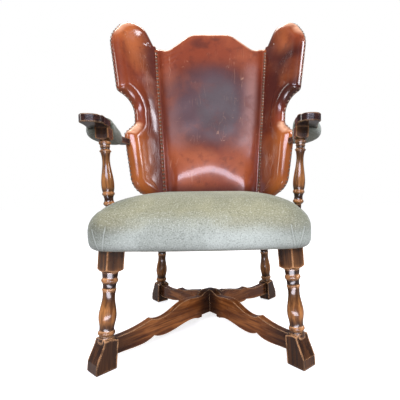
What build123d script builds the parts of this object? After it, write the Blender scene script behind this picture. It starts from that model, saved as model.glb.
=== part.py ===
"""Wingback armchair with turned legs, a crossing stretcher and open arms.

Millimetres, +Z up, +Y to the back, +X to the right of someone who faces the chair.
The origin is on the floor, under the middle of the chair's box.
"""

import os
from math import atan2, cos, degrees, hypot, radians, sin, tan

from build123d import *

os.makedirs("parts", exist_ok=True)

# Fits and sheet thicknesses
clearance = 0.3
overrun = 30.0
velvet = 1.8
leather = 2.0
lining = 1.0

# Plan of the seat
seat_half_width = 279.0
seat_side_bow = 7.0
seat_bow_width = seat_half_width + seat_side_bow
seat_rear_half = 258.0
seat_front_y = -341.0
seat_front_bow = 16.0
seat_corner = 55.0
seat_shoulder_x = seat_half_width - seat_corner
seat_bow_y = -132.0
seat_rear_y = 267.0
seat_rear_corner = 24.0
seat_middle_y = (seat_front_y + seat_rear_y) / 2
seat_half_depth = (seat_rear_y - seat_front_y) / 2

# Where the legs' axes meet the floor, inside the corners of the seat
foot_side_inset = 34.4
foot_front_inset = 54.5
foot_rear_inset = 16.9
front_foot_x = seat_half_width - foot_side_inset
front_foot_y = seat_front_y + foot_front_inset
rear_foot_x = seat_rear_half - foot_side_inset
rear_foot_y = seat_rear_y - foot_rear_inset
leg_lean = 5.3

# Heights of the seat frame
frame_bottom = 298.0
frame_top = 372.0
side_stock = 30.0

# Back and wings: the seam is the nailed line where the back meets a wing
wing_top_z = 1126.0
seam_end_drop = 70.0
seam_end_z = wing_top_z - seam_end_drop
seam_side_inset = 72.0
seam_rear_inset = 81.0
seam_spread = 42.0
seam_rake = 83.0
seam_high_drop = 12.0
seam_x_low = seat_rear_half - seam_side_inset
seam_y_low = seat_rear_y - seam_rear_inset
seam_z_low = 449.0
seam_x_high = seam_x_low + seam_spread
seam_y_high = seam_y_low + seam_rake
seam_z_high = seam_end_z - seam_high_drop
wing_flare = 48.5

# Underside and thickness of the arms
arm_z = 625.0
arm_thickness = 22.0

# Where each arm post stands
post_side_inset = 8.0
post_front_inset = 183.0
post_x = seat_half_width - post_side_inset
post_y = seat_front_y + post_front_inset
post_lean = 2.7


def finish(piece, name):
    """Label a finished piece and write it."""
    piece.part.label = name
    export_step(piece.part, f"parts/{name}.step")


def finish_pair(piece, name):
    """Write a piece of the right side, and its mirror image for the left."""
    finish(piece, f"{name}_right")
    with BuildPart() as other:
        mirror(piece.part, about=Plane.YZ)
    finish(other, f"{name}_left")


# The legs

leg_stock = 46.0
foot_inner = 20.4
foot_width = 46.0
toe_top_share = 0.76
toe_break_share = 1.4
foot_toe_rise = 25.0
foot_edge_radius = 6.0
foot_hollow_z = 64.0
foot_top_z = 80.0
ring_low_z = 92.0
neck_low_z = 101.5
vase_belly_z = 126.0
vase_neck_z = 178.0
bead_z = 198.5
cove_z = 209.0
ring_high_z = 221.5
neck_high_z = 234.0
block_z = 242.0
collar_radius = 18.6
ring_radius = 20.4
neck_radius = 17.4
belly_radius = 21.0
vase_neck_radius = 15.0
bead_radius = 17.4
cove_radius = 15.9
ring_half = 5.2
bead_half = 2.4
pommel_drop = 9.0
pommel_bend_share = 2 / 3
leg_pin_radius = 11.0
leg_pin_length = 34.0
mortise_depth = 16.0
mortise_height = 26.0
tenon_thickness = 10.0
stretcher_thickness = 20.0
tenon_z = 52.0

# Both boards of the stretcher run from one front leg to the rear leg across
board_run = Vector(front_foot_x + rear_foot_x, rear_foot_y - front_foot_y, 0)
board_run = board_run / board_run.length
crossing_y = front_foot_y + (rear_foot_y - front_foot_y) * front_foot_x / (front_foot_x + rear_foot_x)
front_reach = hypot(front_foot_x, crossing_y - front_foot_y)
rear_reach = hypot(rear_foot_x, rear_foot_y - crossing_y)


def leg_plane(foot_x, foot_y):
    """The plane of a leg: its z runs up the leaning axis, its x points away from the crossing."""
    outward = Vector(foot_x, foot_y - crossing_y, 0)
    outward = outward / outward.length
    rise = Vector(0, 0, 1)
    up = rise * cos(radians(leg_lean)) - outward * sin(radians(leg_lean))
    out = outward * cos(radians(leg_lean)) + rise * sin(radians(leg_lean))
    return Plane(origin=(foot_x, foot_y, 0), x_dir=out, z_dir=up)


def add_ring(z, radius, half, root):
    """Half-round turned ring, drawn on the leg's profile from its lower to its upper root."""
    ThreePointArc((root, z - half), (radius, z), (root, z + half))


with BuildPart() as leg_turning:
    with BuildSketch(Plane.XZ):
        with BuildLine():
            ring_root = ring_radius - ring_half / 2
            bead_root = bead_radius - bead_half / 2
            foot_core = foot_top_z - ring_half * 2
            Polyline((0, foot_core), (collar_radius, foot_core), (collar_radius, foot_top_z))
            Spline((collar_radius, foot_top_z), (neck_radius, foot_top_z + ring_half),
                   (ring_root, ring_low_z - ring_half))
            add_ring(ring_low_z, ring_radius, ring_half, ring_root)
            Spline((ring_root, ring_low_z + ring_half), (neck_radius, neck_low_z),
                   (belly_radius, vase_belly_z), (vase_neck_radius, vase_neck_z),
                   (bead_root, bead_z - bead_half))
            add_ring(bead_z, bead_radius, bead_half, bead_root)
            ThreePointArc((bead_root, bead_z + bead_half), (cove_radius, cove_z),
                          (ring_root, ring_high_z - ring_half))
            add_ring(ring_high_z, ring_radius, ring_half, ring_root)
            ThreePointArc((ring_root, ring_high_z + ring_half), (collar_radius, neck_high_z),
                          (collar_radius + bead_half / 2, block_z))
            Polyline((collar_radius + bead_half / 2, block_z), (0, block_z), (0, foot_core))
        make_face()
    revolve(axis=Axis.Z)

# Where a square block meets the turning its corners are rounded over by the lathe
with BuildPart() as foot_pommel:
    with BuildSketch(Plane.XZ):
        with BuildLine():
            Polyline((collar_radius, foot_top_z), (0, foot_top_z), (0, -overrun),
                     (leg_stock, -overrun), (leg_stock, foot_hollow_z))
            ThreePointArc((leg_stock, foot_hollow_z),
                          (leg_stock * pommel_bend_share, foot_top_z - pommel_drop * pommel_bend_share),
                          (collar_radius, foot_top_z))
        make_face()
    revolve(axis=Axis.Z)

with BuildPart() as head_pommel:
    with BuildSketch(Plane.XZ):
        with BuildLine():
            head_end = frame_bottom + overrun
            Polyline((collar_radius, block_z), (0, block_z), (0, head_end),
                     (leg_stock, head_end), (leg_stock, block_z + 2 * pommel_drop))
            ThreePointArc((leg_stock, block_z + 2 * pommel_drop),
                          (leg_stock * pommel_bend_share, block_z + pommel_drop * pommel_bend_share),
                          (collar_radius, block_z))
        make_face()
    revolve(axis=Axis.Z)

with BuildPart() as foot_block:
    with BuildSketch(Plane.XZ):
        with BuildLine():
            toe_top = leg_stock / 2 * toe_top_share
            toe_break = leg_stock / 2 * toe_break_share
            Polyline((toe_top, foot_top_z + overrun), (-foot_inner, foot_top_z + overrun),
                     (-foot_inner, -overrun), (toe_break, -overrun), (toe_break, foot_toe_rise))
            toe_middle = ((toe_top + toe_break) / 2, (foot_toe_rise + foot_hollow_z) / 2)
            Spline((toe_break, foot_toe_rise), toe_middle,
                   (toe_top, foot_hollow_z), (toe_top, foot_top_z + overrun))
        make_face()
    extrude(amount=foot_width / 2, both=True)
    add(foot_pommel.part, mode=Mode.INTERSECT)

with BuildPart() as head_block:
    with BuildSketch(Plane.XY.offset(block_z - overrun)):
        Rectangle(leg_stock, leg_stock)
    extrude(amount=frame_bottom - block_z + 2 * overrun)
    add(head_pommel.part, mode=Mode.INTERSECT)

# A whole leg, before its pin, its mortise and its level cuts
with BuildPart() as leg_blank:
    add(leg_turning.part)
    add(foot_block.part)
    add(head_block.part)


def make_leg(name, foot_x, foot_y):
    """One leg: floor and seat cuts are level though the leg leans."""
    plane = leg_plane(foot_x, foot_y)
    with BuildPart() as leg:
        with Locations(Location(plane)):
            add(leg_blank.part)
        with Locations((foot_x, foot_y, -overrun)):
            Box(front_foot_x, front_foot_x, 2 * overrun, mode=Mode.SUBTRACT)
        fillet(leg.edges().group_by(Axis.Z)[0], foot_edge_radius)
        with Locations((foot_x, foot_y, frame_bottom + 2 * overrun)):
            Box(front_foot_x, front_foot_x, 4 * overrun, mode=Mode.SUBTRACT)
        with BuildSketch(plane.offset(block_z)):
            Circle(leg_pin_radius)
        extrude(amount=frame_bottom + leg_pin_length - block_z)
        with BuildSketch(plane.offset(tenon_z - mortise_height / 2)):
            with Locations((-foot_inner, 0)):
                Rectangle(2 * mortise_depth, tenon_thickness + 2 * clearance)
        extrude(amount=mortise_height, mode=Mode.SUBTRACT)
    finish(leg, name)
    return leg


front_leg_right = make_leg("front_leg_right", front_foot_x, front_foot_y)
front_leg_left = make_leg("front_leg_left", -front_foot_x, front_foot_y)
rear_leg_right = make_leg("rear_leg_right", rear_foot_x, rear_foot_y)
rear_leg_left = make_leg("rear_leg_left", -rear_foot_x, rear_foot_y)

# The crossing stretcher: two shaped boards, halved together under a low dome

dome_z = 120.0
dome_half = 47.0
arch_z = 45.0
lap_z = 82.0

# Shares of the arm's length and of the dome's height
front_top_shares = [(1.0, 0.617), (0.87, 0.625), (0.77, 0.667)]
front_cusp_share = (0.673, 0.742)
front_swell_shares = [(0.59, 0.683), (0.48, 0.75), (0.363, 0.883), (0.276, 0.912), (0.197, 0.888)]
rear_top_shares = [(1.0, 0.592), (0.86, 0.572), (0.69, 0.592)]
rear_cusp_share = (0.575, 0.705)
rear_swell_shares = [(0.5, 0.683), (0.36, 0.762), (0.26, 0.815), (0.215, 0.846)]
front_under_shares = [(1.0, 0.258), (0.84, 0.246), (0.725, 0.263)]
front_under_cusp_share = (0.655, 0.333)
front_belly_shares = [
    (0.6, 0.272), (0.535, 0.258), (0.435, 0.292), (0.334, 0.346), (0.255, 0.362), (0.18, 0.317),
]
rear_under_shares = [(1.0, 0.217), (0.88, 0.22), (0.74, 0.242)]
rear_under_cusp_share = (0.585, 0.312)
rear_belly_shares = [(0.52, 0.277), (0.43, 0.3), (0.33, 0.355), (0.25, 0.35), (0.2, 0.317)]

shoulder = foot_inner / cos(radians(leg_lean)) + clearance / 2
front_arm = front_reach - shoulder
rear_arm = rear_reach - shoulder


def along(side, shares):
    """Points on a board's outline: side is -1 for the front arm and 1 for the rear arm."""
    reach = front_arm if side < 0 else rear_arm
    points = []
    for run_share, rise_share in shares:
        z = dome_z * rise_share
        lean = (z * tan(radians(leg_lean))) if run_share == 1.0 else 0
        points.append((side * (reach * run_share - lean), z))
    return points


def make_stretcher(name, run, keep_low):
    """One board of the stretcher, from its front leg along run to its rear leg."""
    plane = Plane(origin=(0, crossing_y, 0), x_dir=run, z_dir=run.cross(Vector(0, 0, 1)))
    across = Vector(-run.X, run.Y, 0)
    other = Plane(origin=(0, crossing_y, 0), x_dir=across, z_dir=(0, 0, 1))
    front_top = along(-1, front_top_shares + [front_cusp_share])
    front_swell = along(-1, [front_cusp_share] + front_swell_shares)
    rear_top = along(1, rear_top_shares + [rear_cusp_share])
    rear_swell = along(1, [rear_cusp_share] + rear_swell_shares)
    front_under = along(-1, front_under_shares + [front_under_cusp_share])
    front_belly = along(-1, [front_under_cusp_share] + front_belly_shares)
    rear_under = along(1, rear_under_shares + [rear_under_cusp_share])
    rear_belly = along(1, [rear_under_cusp_share] + rear_belly_shares)
    with BuildPart() as board:
        with BuildSketch(plane):
            with BuildLine():
                Spline(front_top)
                Spline(front_swell)
                Line(front_swell[-1], (-dome_half, dome_z * front_swell_shares[-1][1]))
                ThreePointArc((-dome_half, dome_z * front_swell_shares[-1][1]), (0, dome_z),
                              (dome_half, dome_z * rear_swell_shares[-1][1]))
                Line((dome_half, dome_z * rear_swell_shares[-1][1]), rear_swell[-1])
                Spline(rear_swell)
                Spline(rear_top)
                Line(rear_top[0], rear_under[0])
                Spline(rear_under)
                Spline(rear_belly)
                Polyline(rear_belly[-1], (dome_half, rear_belly[-1][1]), (dome_half, arch_z),
                         (-dome_half, arch_z), (-dome_half, front_belly[-1][1]), front_belly[-1])
                Spline(front_belly)
                Spline(front_under)
                Line(front_under[0], front_top[0])
            make_face()
        extrude(amount=stretcher_thickness / 2, both=True)
        for foot_x, foot_y in ((-run.X * front_reach, crossing_y - run.Y * front_reach),
                               (run.X * rear_reach, crossing_y + run.Y * rear_reach)):
            tenon_plane = leg_plane(foot_x, foot_y)
            tenon_back = 2 * stretcher_thickness
            with BuildSketch(tenon_plane.offset(tenon_z - mortise_height / 2 + clearance)):
                with Locations((-foot_inner + mortise_depth / 2 - clearance / 2 - tenon_back / 2, 0)):
                    Rectangle(mortise_depth - clearance + tenon_back, tenon_thickness)
            extrude(amount=mortise_height - 2 * clearance)
        lap_height = dome_z if keep_low else -dome_z
        with BuildSketch(other.offset(lap_z + (-clearance if keep_low else clearance) / 2)):
            Rectangle(4 * stretcher_thickness, stretcher_thickness + 2 * clearance)
        extrude(amount=lap_height, mode=Mode.SUBTRACT)
    finish(board, name)


make_stretcher("stretcher_lower", board_run, True)
make_stretcher("stretcher_upper", Vector(-board_run.X, board_run.Y, 0), False)

# The seat: one outline, drawn in or scaled for every layer


def seat_outline(inset):
    """Closed outline of the seat, drawn in by inset on every side."""
    wide = (seat_bow_width - inset) / seat_bow_width
    deep = (seat_half_depth - inset) / seat_half_depth
    corner_y = seat_front_y + seat_front_bow + seat_corner
    bend = sin(radians(45)) * seat_corner
    rear_bend = (1 - sin(radians(45))) * seat_rear_corner

    def spot(x, y):
        return (x * wide, seat_middle_y + (y - seat_middle_y) * deep)

    right = [
        spot(seat_shoulder_x, seat_front_y + seat_front_bow),
        spot(seat_half_width - seat_corner + bend, corner_y - bend),
        spot(seat_half_width, corner_y),
        spot(seat_bow_width, seat_bow_y),
        spot(seat_rear_half, seat_rear_y - seat_rear_corner),
        spot(seat_rear_half - rear_bend, seat_rear_y - rear_bend),
        spot(seat_rear_half - seat_rear_corner, seat_rear_y),
    ]
    left = [(-x, y) for x, y in right]
    with BuildLine() as line:
        ThreePointArc(left[0], spot(0, seat_front_y), right[0])
        ThreePointArc(*right[0:3])
        ThreePointArc(*right[2:5])
        ThreePointArc(*right[4:7])
        Line(right[6], left[6])
        ThreePointArc(*left[6:3:-1])
        ThreePointArc(*left[4:1:-1])
        ThreePointArc(*left[2::-1])
    return line.line


# Height above the floor and how far the cover draws in there
hem_z = frame_bottom + clearance
cover_rings = [
    (hem_z, 13.0), (305.0, 6.0), (319.0, 1.0), (348.0, 0.0), (367.0, 4.0), (383.0, 13.0), (398.0, 29.0),
    (413.0, 53.0), (427.0, 88.0), (438.0, 132.0), (444.0, 180.0),
]


def seat_form(shrink, drop):
    """The crowned seat as a solid, shrunk on its sides and dropped at its top."""
    crown = cover_rings[-1][0] - frame_top
    outlines = [(z - drop * min(1.0, max(0.0, (z - frame_top) / crown)), seat_outline(inset + shrink))
                for z, inset in cover_rings]
    with BuildPart() as form:
        for z, outline in outlines:
            with BuildSketch(Plane.XY.offset(z)):
                make_face(outline.edges())
        loft(ruled=True)
    return form.part


def seam_point(z):
    """The nailed seam of the right side at a height."""
    share = (z - seam_z_low) / (seam_z_high - seam_z_low)
    return Vector(seam_x_low + (seam_x_high - seam_x_low) * share,
                  seam_y_low + (seam_y_high - seam_y_low) * share, z)


# Directions of the right side: up the seam, out along the wing, square to its face
seam_up = (seam_point(seam_z_high) - seam_point(seam_z_low)).normalized()
wing_out = Vector(cos(radians(wing_flare)), -sin(radians(wing_flare)), 0)
wing_face = wing_out.cross(seam_up).normalized()
wing_plane = Plane(origin=seam_point(seam_z_low), x_dir=wing_out, z_dir=wing_face)
back_rake = degrees(atan2(seam_y_high - seam_y_low, seam_z_high - seam_z_low))

# Layers of the back, counted from the leather's face at the seam
back_bottom = 382.0
pad_back = 22.0
strap_thickness = 1.0
frame_face = pad_back + clearance + lining + 2 * strap_thickness + clearance
outside_inset = 4.0
outside_rake = 78.0
outside_low_y = seat_rear_y - outside_inset
outside_high_y = outside_low_y + outside_rake
outside_high_z = 1110.0
post_width = 40.0
corner_width = 24.0


def inside_y(z, depth):
    """Y of a layer of the back, depth behind the plane of the seams."""
    return seam_point(z).Y + depth / cos(radians(back_rake))


def outside_y(z, depth):
    """Y of a layer depth in front of the outer face of the back's frame."""
    slope = (outside_high_y - outside_low_y) / (outside_high_z - frame_top)
    return outside_low_y + (z - frame_top) * slope - depth


# Wing layers, counted from the leather's face
wing_pad_depth = 14.0
wing_board_depth = 32.0
wing_roll = 13.0
wing_foot_z = 400.0
wing_reach = 184.0
wing_rise = wing_top_z - wing_foot_z

# Corners of the wing's outline as shares of its reach and rise, and their radii as shares of its width
wing_outline_shares = [
    (0.254, 1.0), (0.68, 1.0), (1.0, 0.8846), (0.896, 0.6026), (0.513, 0.5636),
    (0.516, 0.438), (0.775, 0.3769), (0.657, 0.0998),
]
wing_slender_share = 0.2534
wing_width = min(wing_reach, wing_rise * wing_slender_share)
wing_radius_shares = [0.283, 0.446, 0.543, 0.092, 0.402, 0.163, 0.12, 0.38]


def on_wing(reach, z):
    """Plane coordinates of a point at height z, reach out from the seam."""
    spot = wing_plane.to_local_coords(seam_point(z) + wing_out * reach)
    return (spot.X, spot.Y)


def wing_sketch(depth, grow):
    """Wing outline on a plane depth behind the leather's face, grown by grow."""
    corners = [on_wing(wing_reach * out, wing_foot_z + wing_rise * up) for out, up in wing_outline_shares]
    radii = [wing_width * share for share in wing_radius_shares]
    head = on_wing(0, seam_end_z)
    foot = on_wing(0, wing_foot_z)
    with BuildSketch(wing_plane.offset(-depth)) as sketch:
        with BuildLine():
            FilletPolyline(head, *corners, foot, radius=radii)
            Line(foot, head)
        make_face()
        if grow != 0:
            offset(amount=grow, kind=Kind.ARC if grow < 0 else Kind.INTERSECTION)
    return sketch


def wing_form(inset, front_depth, roll):
    """Wing solid from its board's back up to front_depth, rolled over at all edges but the seam."""
    outline = wing_sketch(wing_board_depth, -inset)
    with BuildPart() as form:
        extrude(outline.sketch, amount=wing_board_depth - front_depth, dir=wing_face)
        front = form.faces().sort_by(lambda face: wing_plane.to_local_coords(face.center()).Z)[-1]
        fillet(front.edges().sort_by(SortBy.LENGTH)[:-1], roll)
    return form.part


# The dowel that holds the arm to the front edge of the wing's board
dowel_radius = 4.0
dowel_half = 22.0
dowel_reach_share = 0.7717
dowel_reach = wing_reach * dowel_reach_share
dowel_z = arm_z + arm_thickness / 2
dowel_depth = (wing_pad_depth + wing_board_depth) / 2
dowel_middle = seam_point(dowel_z) + wing_out * dowel_reach - wing_face * dowel_depth


# The dowel's hole, for the pieces that it enters
with BuildPart() as dowel_hole:
    with BuildSketch(Plane(origin=dowel_middle, z_dir=wing_out)):
        Circle(dowel_radius + clearance)
    extrude(amount=dowel_half + clearance, both=True)

# Everything that a wing fills, for the pieces that make way for it
wing_space_outline = wing_sketch(wing_board_depth + leather + 2 * clearance, clearance)
with BuildPart() as wing_space:
    extrude(wing_space_outline.sketch,
            amount=wing_board_depth + leather + 3 * clearance, dir=wing_face)

# A strip of the wing along the seam, where its board meets the back post
with BuildPart() as wing_root:
    with BuildSketch(wing_plane.offset(-wing_board_depth)):
        with BuildLine():
            strip = 2 * leather
            Polyline(on_wing(0, wing_foot_z + strip), on_wing(strip, wing_foot_z + 2 * strip),
                     on_wing(strip, seam_end_z), on_wing(0, seam_end_z - strip), close=True)
        make_face()
    extrude(amount=wing_board_depth - wing_pad_depth)

wing_outer_form = wing_form(0, 0, wing_roll)
wing_inner_form = wing_form(leather, leather, wing_roll - leather)
wing_pad_form = wing_form(leather + clearance, leather + clearance, wing_roll - leather - 2 * clearance)

with BuildPart() as wing_leather:
    add(wing_outer_form)
    add(wing_inner_form, mode=Mode.SUBTRACT)
    add(wing_root.part, mode=Mode.SUBTRACT)
    add(dowel_hole.part, mode=Mode.SUBTRACT)
finish_pair(wing_leather, "wing_leather")

with BuildPart() as wing_padding:
    add(wing_pad_form)
    with BuildSketch(wing_plane.offset(-wing_board_depth - overrun)):
        with Locations(on_wing(wing_reach / 2, (wing_top_z + wing_foot_z) / 2)):
            Rectangle(3 * wing_reach, 2 * (wing_top_z - wing_foot_z))
    extrude(amount=wing_board_depth + overrun - wing_pad_depth, mode=Mode.SUBTRACT)
    add(dowel_hole.part, mode=Mode.SUBTRACT)
finish_pair(wing_padding, "wing_padding")

wing_board_outline = wing_sketch(wing_board_depth, -leather - clearance)
with BuildPart() as wing_frame:
    extrude(wing_board_outline.sketch,
            amount=wing_board_depth - wing_pad_depth - clearance, dir=wing_face)
    add(wing_root.part)
    with BuildSketch(wing_plane.offset(-wing_pad_depth)):
        with Locations(on_wing(wing_reach / 2, (wing_top_z + wing_foot_z) / 2)):
            Rectangle(3 * wing_reach, 2 * (wing_top_z - wing_foot_z))
    extrude(amount=-clearance, mode=Mode.SUBTRACT)
    add(dowel_hole.part, mode=Mode.SUBTRACT)
finish_pair(wing_frame, "wing_frame")

wing_outside_outline = wing_sketch(wing_board_depth + leather + clearance, -leather)
with BuildPart() as wing_outside:
    extrude(wing_outside_outline.sketch,
            amount=leather, dir=wing_face)
finish_pair(wing_outside, "outside_wing_leather")

# The back, between the seams

crest_hollow_inset = 50.0
crest_hollow_drop = 18.0
crest_hollow_radius = 40.0
crest_shoulder_inset = 151.0
crest_shoulder_rise = 55.0
crest_shoulder_radius = 60.0
crest_hollow_x = seam_x_high - crest_hollow_inset
crest_hollow_z = seam_end_z - crest_hollow_drop
crest_shoulder_x = seam_x_high - crest_shoulder_inset
crest_shoulder_z = seam_end_z + crest_shoulder_rise


def between_seams(side, low, high):
    """Front view of the space between the seams from low to high, inset by side."""
    low_x = seam_point(low).X - side
    high_x = seam_point(high).X - side
    with BuildSketch(Plane.XZ) as sketch:
        with BuildLine():
            Polyline((low_x, low), (high_x, high), (-high_x, high), (-low_x, low), close=True)
        make_face()
    return sketch


def back_outline(side, drop, bottom):
    """Front view of the back: inset from the seams by side, dropped from the crest by drop."""

    def edge_x(z):
        return seam_point(z).X - side

    right = [
        (edge_x(bottom), bottom),
        (edge_x(seam_end_z - drop), seam_end_z - drop),
        (crest_hollow_x, crest_hollow_z - drop),
        (crest_shoulder_x, crest_shoulder_z - drop),
    ]
    left = [(-x, z) for x, z in right]
    with BuildSketch(Plane.XZ) as sketch:
        with BuildLine():
            FilletPolyline(left[1], left[2], left[3], right[3], right[2], right[1],
                           radius=[crest_hollow_radius, crest_shoulder_radius,
                                   crest_shoulder_radius, crest_hollow_radius])
            Polyline(right[1], right[0], left[0], left[1])
        make_face()
    return sketch


def back_slab(outline, front_depth, rear_depth, from_outside=False):
    """Front view outline cut to a layer of the raked back."""
    low = frame_bottom - overrun
    high = wing_top_z + overrun
    rear = outside_y if from_outside else inside_y
    with BuildPart() as slab:
        extrude(outline.sketch, amount=2 * seat_half_depth, dir=(0, 1, 0), both=True)
        with BuildSketch(Plane.YZ):
            with BuildLine():
                Polyline((inside_y(low, front_depth), low), (inside_y(high, front_depth), high),
                         (rear(high, rear_depth), high), (rear(low, rear_depth), low), close=True)
            make_face()
        extrude(amount=2 * seat_half_width, both=True, mode=Mode.INTERSECT)
    return slab.part


# The raised pad inside the margin, as a crowned form
margin = 15.0
pad_rise = 15.0
pad_rings = [(-0.1, 0.0), (0.3, 1.5), (0.62, 6.0), (0.84, 15.0), (0.95, 28.0), (1.0, 50.0)]
pad_low_z = 392.0
pad_high_drop = 16.0
pad_high_z = seam_end_z - pad_high_drop
pad_corner = 30.0
back_plane = Plane(origin=(0, seam_y_low, seam_z_low), x_dir=(1, 0, 0),
                   z_dir=(0, -cos(radians(back_rake)), sin(radians(back_rake))))


def pad_form(grow):
    """The crowned pad on the inside back, grown by grow."""
    with BuildPart() as form:
        for rise_share, inset in pad_rings:
            low = (pad_low_z - seam_z_low) / cos(radians(back_rake))
            high = (pad_high_z - seam_z_low) / cos(radians(back_rake))
            draw = inset + margin - grow
            corner = pad_corner + inset / 2
            with BuildSketch(back_plane.offset(pad_rise * rise_share + grow)):
                with BuildLine():
                    wide_low = seam_point(pad_low_z).X - draw
                    wide_high = seam_point(pad_high_z).X - draw
                    low_edge = low + inset - grow
                    high_edge = high - inset + grow
                    FilletPolyline((wide_low, low_edge), (wide_high, high_edge), (-wide_high, high_edge),
                                   (-wide_low, low_edge), radius=corner, close=True)
                make_face()
        loft(ruled=True)
    return form.part


back_leather_sheet = back_slab(back_outline(clearance / 2, 0, back_bottom), 0, leather)
back_leather_pad = pad_form(0)
back_leather_hollow = pad_form(-leather)
with BuildPart() as back_leather:
    add(back_leather_sheet)
    add(back_leather_pad)
    add(back_leather_hollow, mode=Mode.SUBTRACT)
finish(back_leather, "back_leather")

back_padding_slab = back_slab(back_outline(leather, leather, back_bottom), leather + clearance, pad_back)
back_padding_crown = pad_form(-leather - clearance)
with BuildPart() as back_padding:
    add(back_padding_slab)
    add(back_padding_crown)
finish(back_padding, "back_padding")

hessian_front = pad_back + clearance / 2
back_hessian_sheet = back_slab(back_outline(2 * leather, 4 * leather, back_bottom), hessian_front,
                               hessian_front + lining)
with BuildPart() as back_hessian:
    add(back_hessian_sheet)
finish(back_hessian, "back_hessian")

strap_width = 50.0
strap_columns = 3
strap_rows = 4
strap_column_pitch = 95.0
strap_depth = pad_back + clearance + lining
crest_rail_drop = 71.0
crest_rail_low = seam_end_z - crest_rail_drop
lower_rail_top = 445.0
strap_low_gap = 75.0
strap_high_gap = 90.0
strap_row_low = lower_rail_top + strap_low_gap
strap_row_pitch = (crest_rail_low - strap_high_gap - strap_row_low) / (strap_rows - 1)


def strap_slab(depth, x, z, width, height):
    """One webbing strap lying in a layer of the back."""
    with BuildSketch(Plane.XZ) as patch:
        with Locations((x, z)):
            Rectangle(width, height)
    return back_slab(patch, depth, depth + strap_thickness)


column_height = crest_rail_low - lower_rail_top + strap_width
column_z = (crest_rail_low + lower_rail_top) / 2
straps = []
for column in range(strap_columns):
    x = (column - (strap_columns - 1) / 2) * strap_column_pitch
    straps.append(strap_slab(strap_depth, x, column_z, strap_width, column_height))
for row in range(strap_rows):
    z = strap_row_low + row * strap_row_pitch
    row_width = 2 * (seam_point(z).X - post_width / 2)
    straps.append(strap_slab(strap_depth + strap_thickness, 0, z, row_width, strap_width))

with BuildPart() as back_webbing:
    for strap in straps:
        add(strap)
finish(back_webbing, "back_webbing")

rail_fit = post_width + clearance / 2

crest_slab = back_slab(back_outline(0, leather + clearance, crest_rail_low), frame_face,
                       leather + clearance, from_outside=True)
between_posts = between_seams(rail_fit, frame_bottom, wing_top_z)
with BuildPart() as crest_rail:
    add(crest_slab)
    extrude(between_posts.sketch, amount=2 * seat_half_depth, dir=(0, 1, 0), both=True,
            mode=Mode.INTERSECT)
finish(crest_rail, "crest_rail")

lower_rail_slab = back_slab(between_seams(rail_fit, back_bottom, lower_rail_top), frame_face,
                            leather + clearance, from_outside=True)
with BuildPart() as lower_back_rail:
    add(lower_rail_slab)
finish(lower_back_rail, "lower_back_rail")

# Back posts: each stands on a corner block and laps over the rear rail
rear_rail_stock = 28.0
rail_gap = 1.5
rail_rear_y = seat_rear_y - velvet - 2 * clearance - rail_gap
rail_inner_y = rail_rear_y - rear_rail_stock
block_height = 40.0
post_foot = frame_bottom + block_height
post_head = seam_end_z - leather - clearance

with BuildSketch(Plane.XZ) as post_front:
    with BuildLine():
        Polyline((seam_point(post_foot).X - post_width, post_foot),
                 (seam_point(post_head).X - post_width, post_head - crest_hollow_radius / 2),
                 (seam_point(post_head).X, post_head),
                 (seam_point(post_head).X + corner_width, post_head),
                 (seam_point(post_foot).X + corner_width, post_foot), close=True)
    make_face()

# All that lies in front of the wing's outer cover
with BuildPart() as wing_room:
    with BuildSketch(wing_plane.offset(-wing_board_depth - 2 * leather)):
        with BuildLine():
            Polyline(on_wing(-clearance, frame_bottom), on_wing(-clearance, wing_top_z),
                     on_wing(wing_reach, wing_top_z), on_wing(wing_reach, frame_bottom), close=True)
        make_face()
    extrude(amount=wing_board_depth + 2 * leather + overrun)

post_slab = back_slab(post_front, wing_pad_depth / 2, leather + clearance, from_outside=True)
back_room = back_slab(between_seams(-clearance, frame_bottom, wing_top_z), -overrun, frame_face)
shelf = frame_top + clearance / 2

with BuildPart() as back_post:
    add(post_slab)
    with BuildSketch(Plane.YZ):
        with BuildLine():
            Polyline((rail_inner_y - clearance, shelf), (rail_inner_y - clearance, post_foot - overrun),
                     (rail_inner_y + 3 * rear_rail_stock, post_foot - overrun),
                     (rail_inner_y + 3 * rear_rail_stock, shelf), close=True)
        make_face()
    extrude(amount=seat_half_width, mode=Mode.SUBTRACT)
    # Room for the layers of the back
    add(back_room, mode=Mode.SUBTRACT)
    add(wing_room.part, mode=Mode.SUBTRACT)
finish_pair(back_post, "back_post")

cover_low_z = frame_top + velvet
outside_outline = back_outline(-corner_width, leather, cover_low_z)
with BuildPart() as outside_back:
    extrude(outside_outline.sketch, amount=2 * seat_half_depth, dir=(0, 1, 0), both=True)
    with BuildSketch(Plane.YZ):
        with BuildLine():
            Polyline((outside_y(frame_bottom, leather), frame_bottom),
                     (outside_y(wing_top_z, leather), wing_top_z),
                     (outside_y(wing_top_z, 0), wing_top_z), (outside_y(frame_bottom, 0), frame_bottom),
                     close=True)
        make_face()
    extrude(amount=2 * seat_half_width, both=True, mode=Mode.INTERSECT)
finish(outside_back, "outside_back_leather")

# Leather on the outer side of each back post, between the wing and the outside back
with BuildSketch(Plane.XZ) as post_side_front:
    with BuildLine():
        side_low_x = seam_point(cover_low_z).X + corner_width + clearance / 2
        side_high_x = seam_point(post_head).X + corner_width + clearance / 2
        Polyline((side_low_x, cover_low_z), (side_high_x, post_head), (side_high_x + leather, post_head),
                 (side_low_x + leather, cover_low_z), close=True)
    make_face()

post_side_slab = back_slab(post_side_front, wing_pad_depth / 2, 0, from_outside=True)
with BuildPart() as post_leather:
    add(post_side_slab)
    add(wing_room.part, mode=Mode.SUBTRACT)
finish_pair(post_leather, "post_leather")

# The seat frame

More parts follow.
